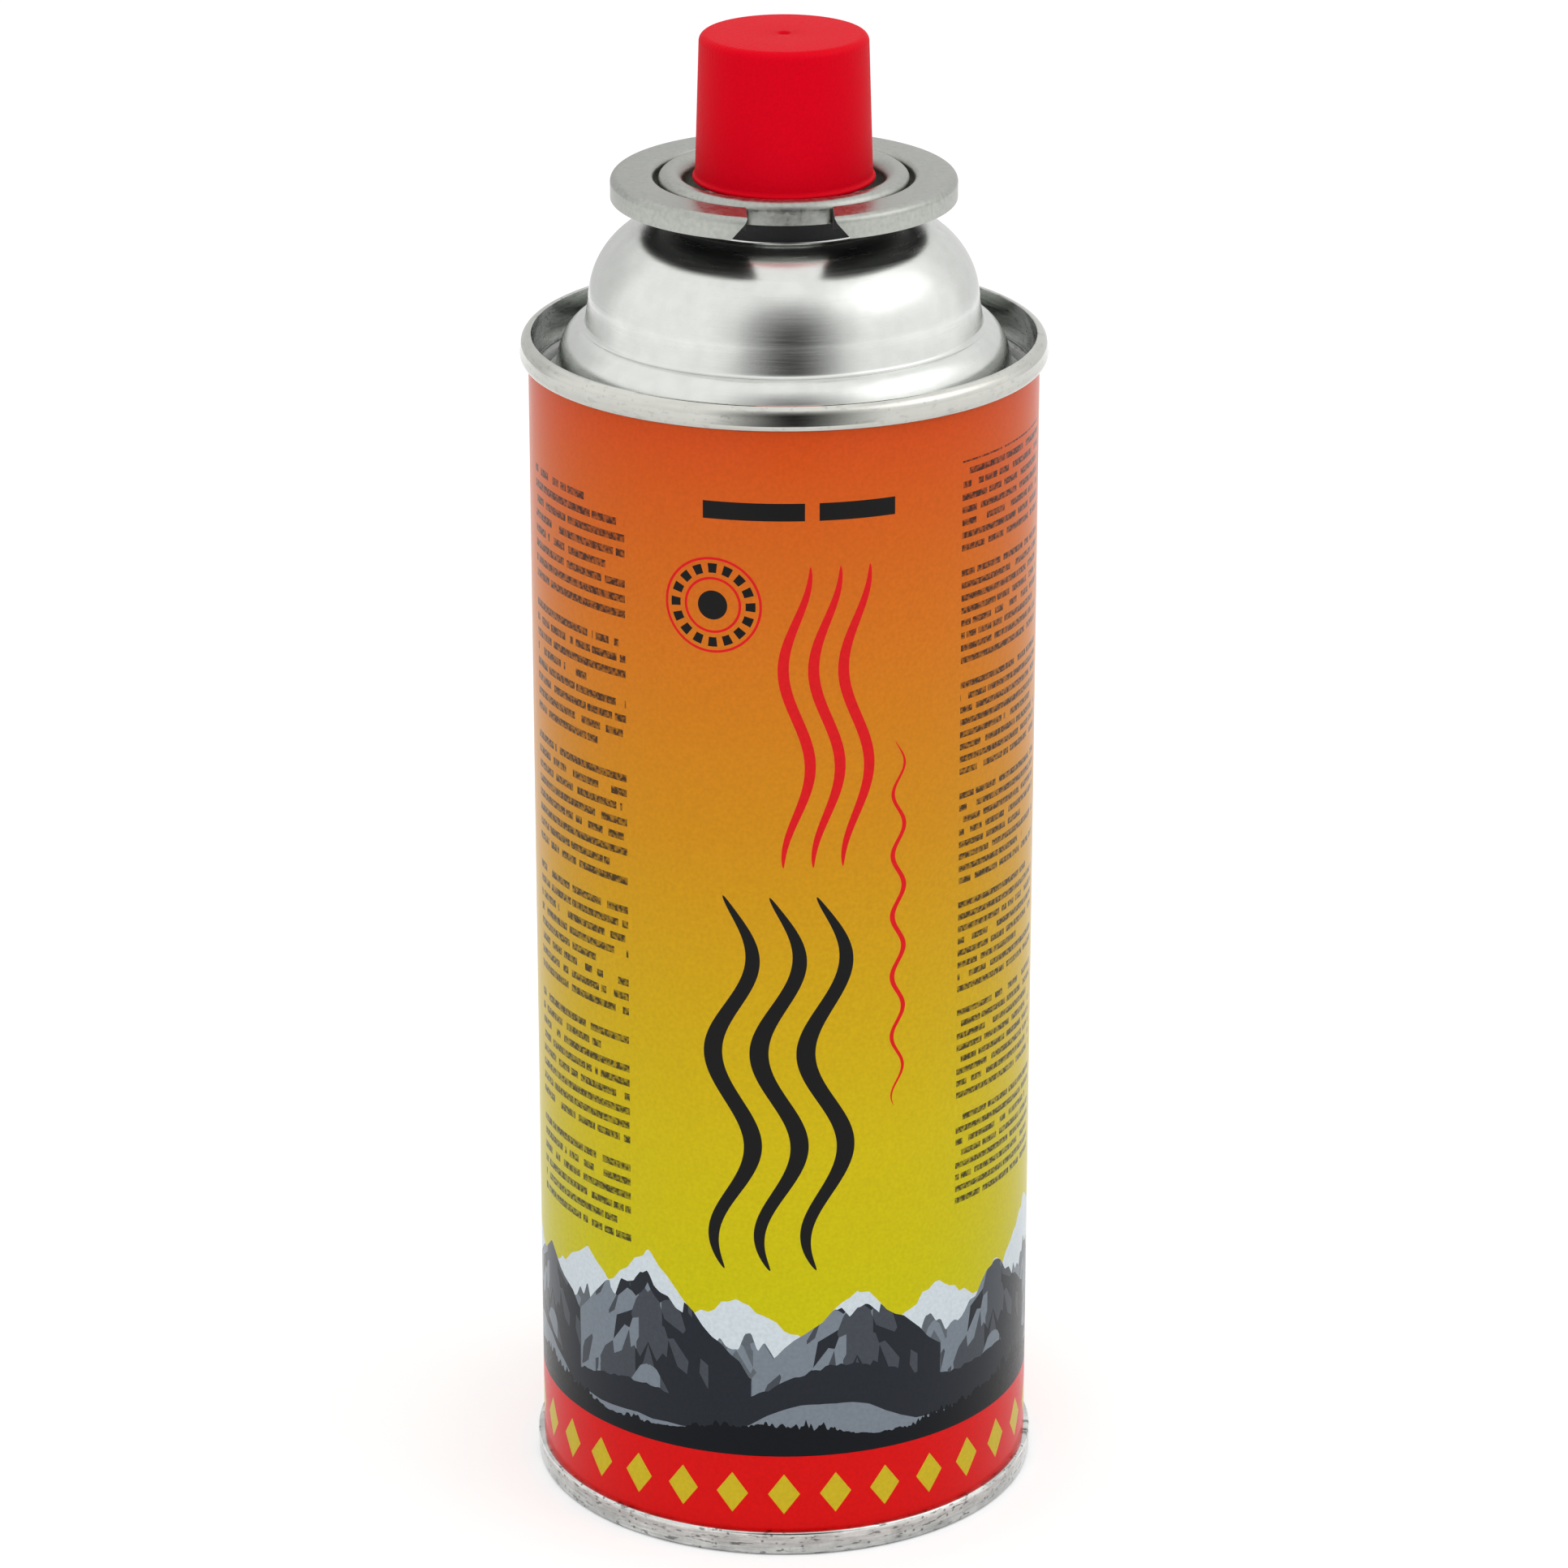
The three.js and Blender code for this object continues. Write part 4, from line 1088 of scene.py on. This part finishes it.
def flat(name, centre, size, turn):
    """A flat rectangle: centre + (+-width / 2, +-depth / 2, 0), turned about X, Y and Z by degrees."""
    mesh = bpy.data.meshes.new(name)
    half = np.array([[-1, -1, 0], [1, -1, 0], [1, 1, 0], [-1, 1, 0]]) * [size[0] / 2, size[1] / 2, 0]
    mesh.from_pydata(half.tolist(), [], [(0, 1, 2, 3)])
    made = bpy.data.objects.new(name, mesh)
    made.location = centre
    made.rotation_euler = [math.radians(value) for value in turn]
    bpy.context.scene.collection.objects.link(made)
    return made


def shown_rays(tree):
    """1 for camera, glossy and transmission rays, which show the background itself."""
    path = add(tree, "LightPath")
    seen = path.outputs["Is Camera Ray"]
    for kind in ("Is Glossy Ray", "Is Transmission Ray"):
        seen = add(tree, "Math", [seen, path.outputs[kind]], operation="MAXIMUM")
    return seen


def floor_paint():
    """Matt white studio board: it takes the shadow, and what is seen of it is lifted to the world's white."""
    material, tree, shader = new_material("studio_board")
    lift = add(tree, "Math", [shown_rays(tree), FLOOR_LIFT], operation="MULTIPLY")
    join(tree, shader, {"Base Color": linear("e6e6e6"), "Roughness": 0.9, "Emission Color": linear("ffffff"),
                        "Emission Strength": lift})
    shader.inputs["Specular IOR Level"].default_value = 0.0
    return material


def card_paint(name, glow, size, solid):
    """Evenly glowing card that only the metal mirrors, full in its middle and fading out to all its sides:
    alpha = fade(|x| / half width) fade(|y| / half height), each 1 up to the solid share and 0 at the edge."""
    material, tree, shader = new_material(name)
    where = add(tree, "TexCoord").outputs["Object"]
    split = add(tree, "SeparateXYZ", [where])
    fades = []
    for axis in (0, 1):
        off = add(tree, "Math", [split.outputs[axis]], operation="ABSOLUTE")
        edge = size[axis] / 2
        fades.append(add(tree, "MapRange", [off, edge * solid, edge, 1.0, 0.0],
                         interpolation_type="SMOOTHSTEP"))
    alpha = add(tree, "Math", fades, operation="MULTIPLY")
    join(tree, shader, {"Base Color": linear("000000"), "Emission Color": linear("ffffff"),
                        "Emission Strength": glow, "Alpha": alpha})
    shader.inputs["Specular IOR Level"].default_value = 0.0
    return material


def studio_world(scene):
    """White all round where it is seen or mirrored, and a little less where it lights."""
    world = bpy.data.worlds.new("studio")
    world.use_nodes = True
    tree = world.node_tree
    strength = add(tree, "MapRange", {0: shown_rays(tree), 3: WORLD_LIGHT, 4: 1.0})
    join(tree, tree.nodes["Background"], [linear("ffffff"), strength])
    scene.world = world


class CARTRIDGE_PT_panel(bpy.types.Panel):
    """Sizes, colours and makers of the cartridge"""

    bl_idname = "CARTRIDGE_PT_panel"
    bl_label = "Gas cartridge"
    bl_space_type = "VIEW_3D"
    bl_region_type = "UI"
    bl_category = "Cartridge"

    def draw(self, context):
        for group in (context.scene.cartridge_sizes, context.scene.cartridge_colours):
            box = self.layout.box()
            for name in group.__annotations__:
                box.prop(group, name)
        for operator in OPERATORS:
            self.layout.operator(operator.bl_idname)


OPERATORS = (CARTRIDGE_OT_wall, CARTRIDGE_OT_ends, CARTRIDGE_OT_collar, CARTRIDGE_OT_valve,
             CARTRIDGE_OT_cap, CARTRIDGE_OT_stage)
CLASSES = (CartridgeSizes, CartridgeColours, *OPERATORS, CARTRIDGE_PT_panel)


def register():
    for cls in CLASSES:
        bpy.utils.register_class(cls)
    bpy.types.Scene.cartridge_sizes = bpy.props.PointerProperty(type=CartridgeSizes)
    bpy.types.Scene.cartridge_colours = bpy.props.PointerProperty(type=CartridgeColours)


def unregister():
    del bpy.types.Scene.cartridge_colours
    del bpy.types.Scene.cartridge_sizes
    for cls in reversed(CLASSES):
        bpy.utils.unregister_class(cls)


def main():
    """Registers the add-on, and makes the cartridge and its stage."""
    register()
    bpy.ops.cartridge.stage()
    bpy.ops.cartridge.wall()
    bpy.ops.cartridge.ends()
    bpy.ops.cartridge.collar()
    bpy.ops.cartridge.valve()
    bpy.ops.cartridge.cap()


if __name__ == "__main__":
    main()
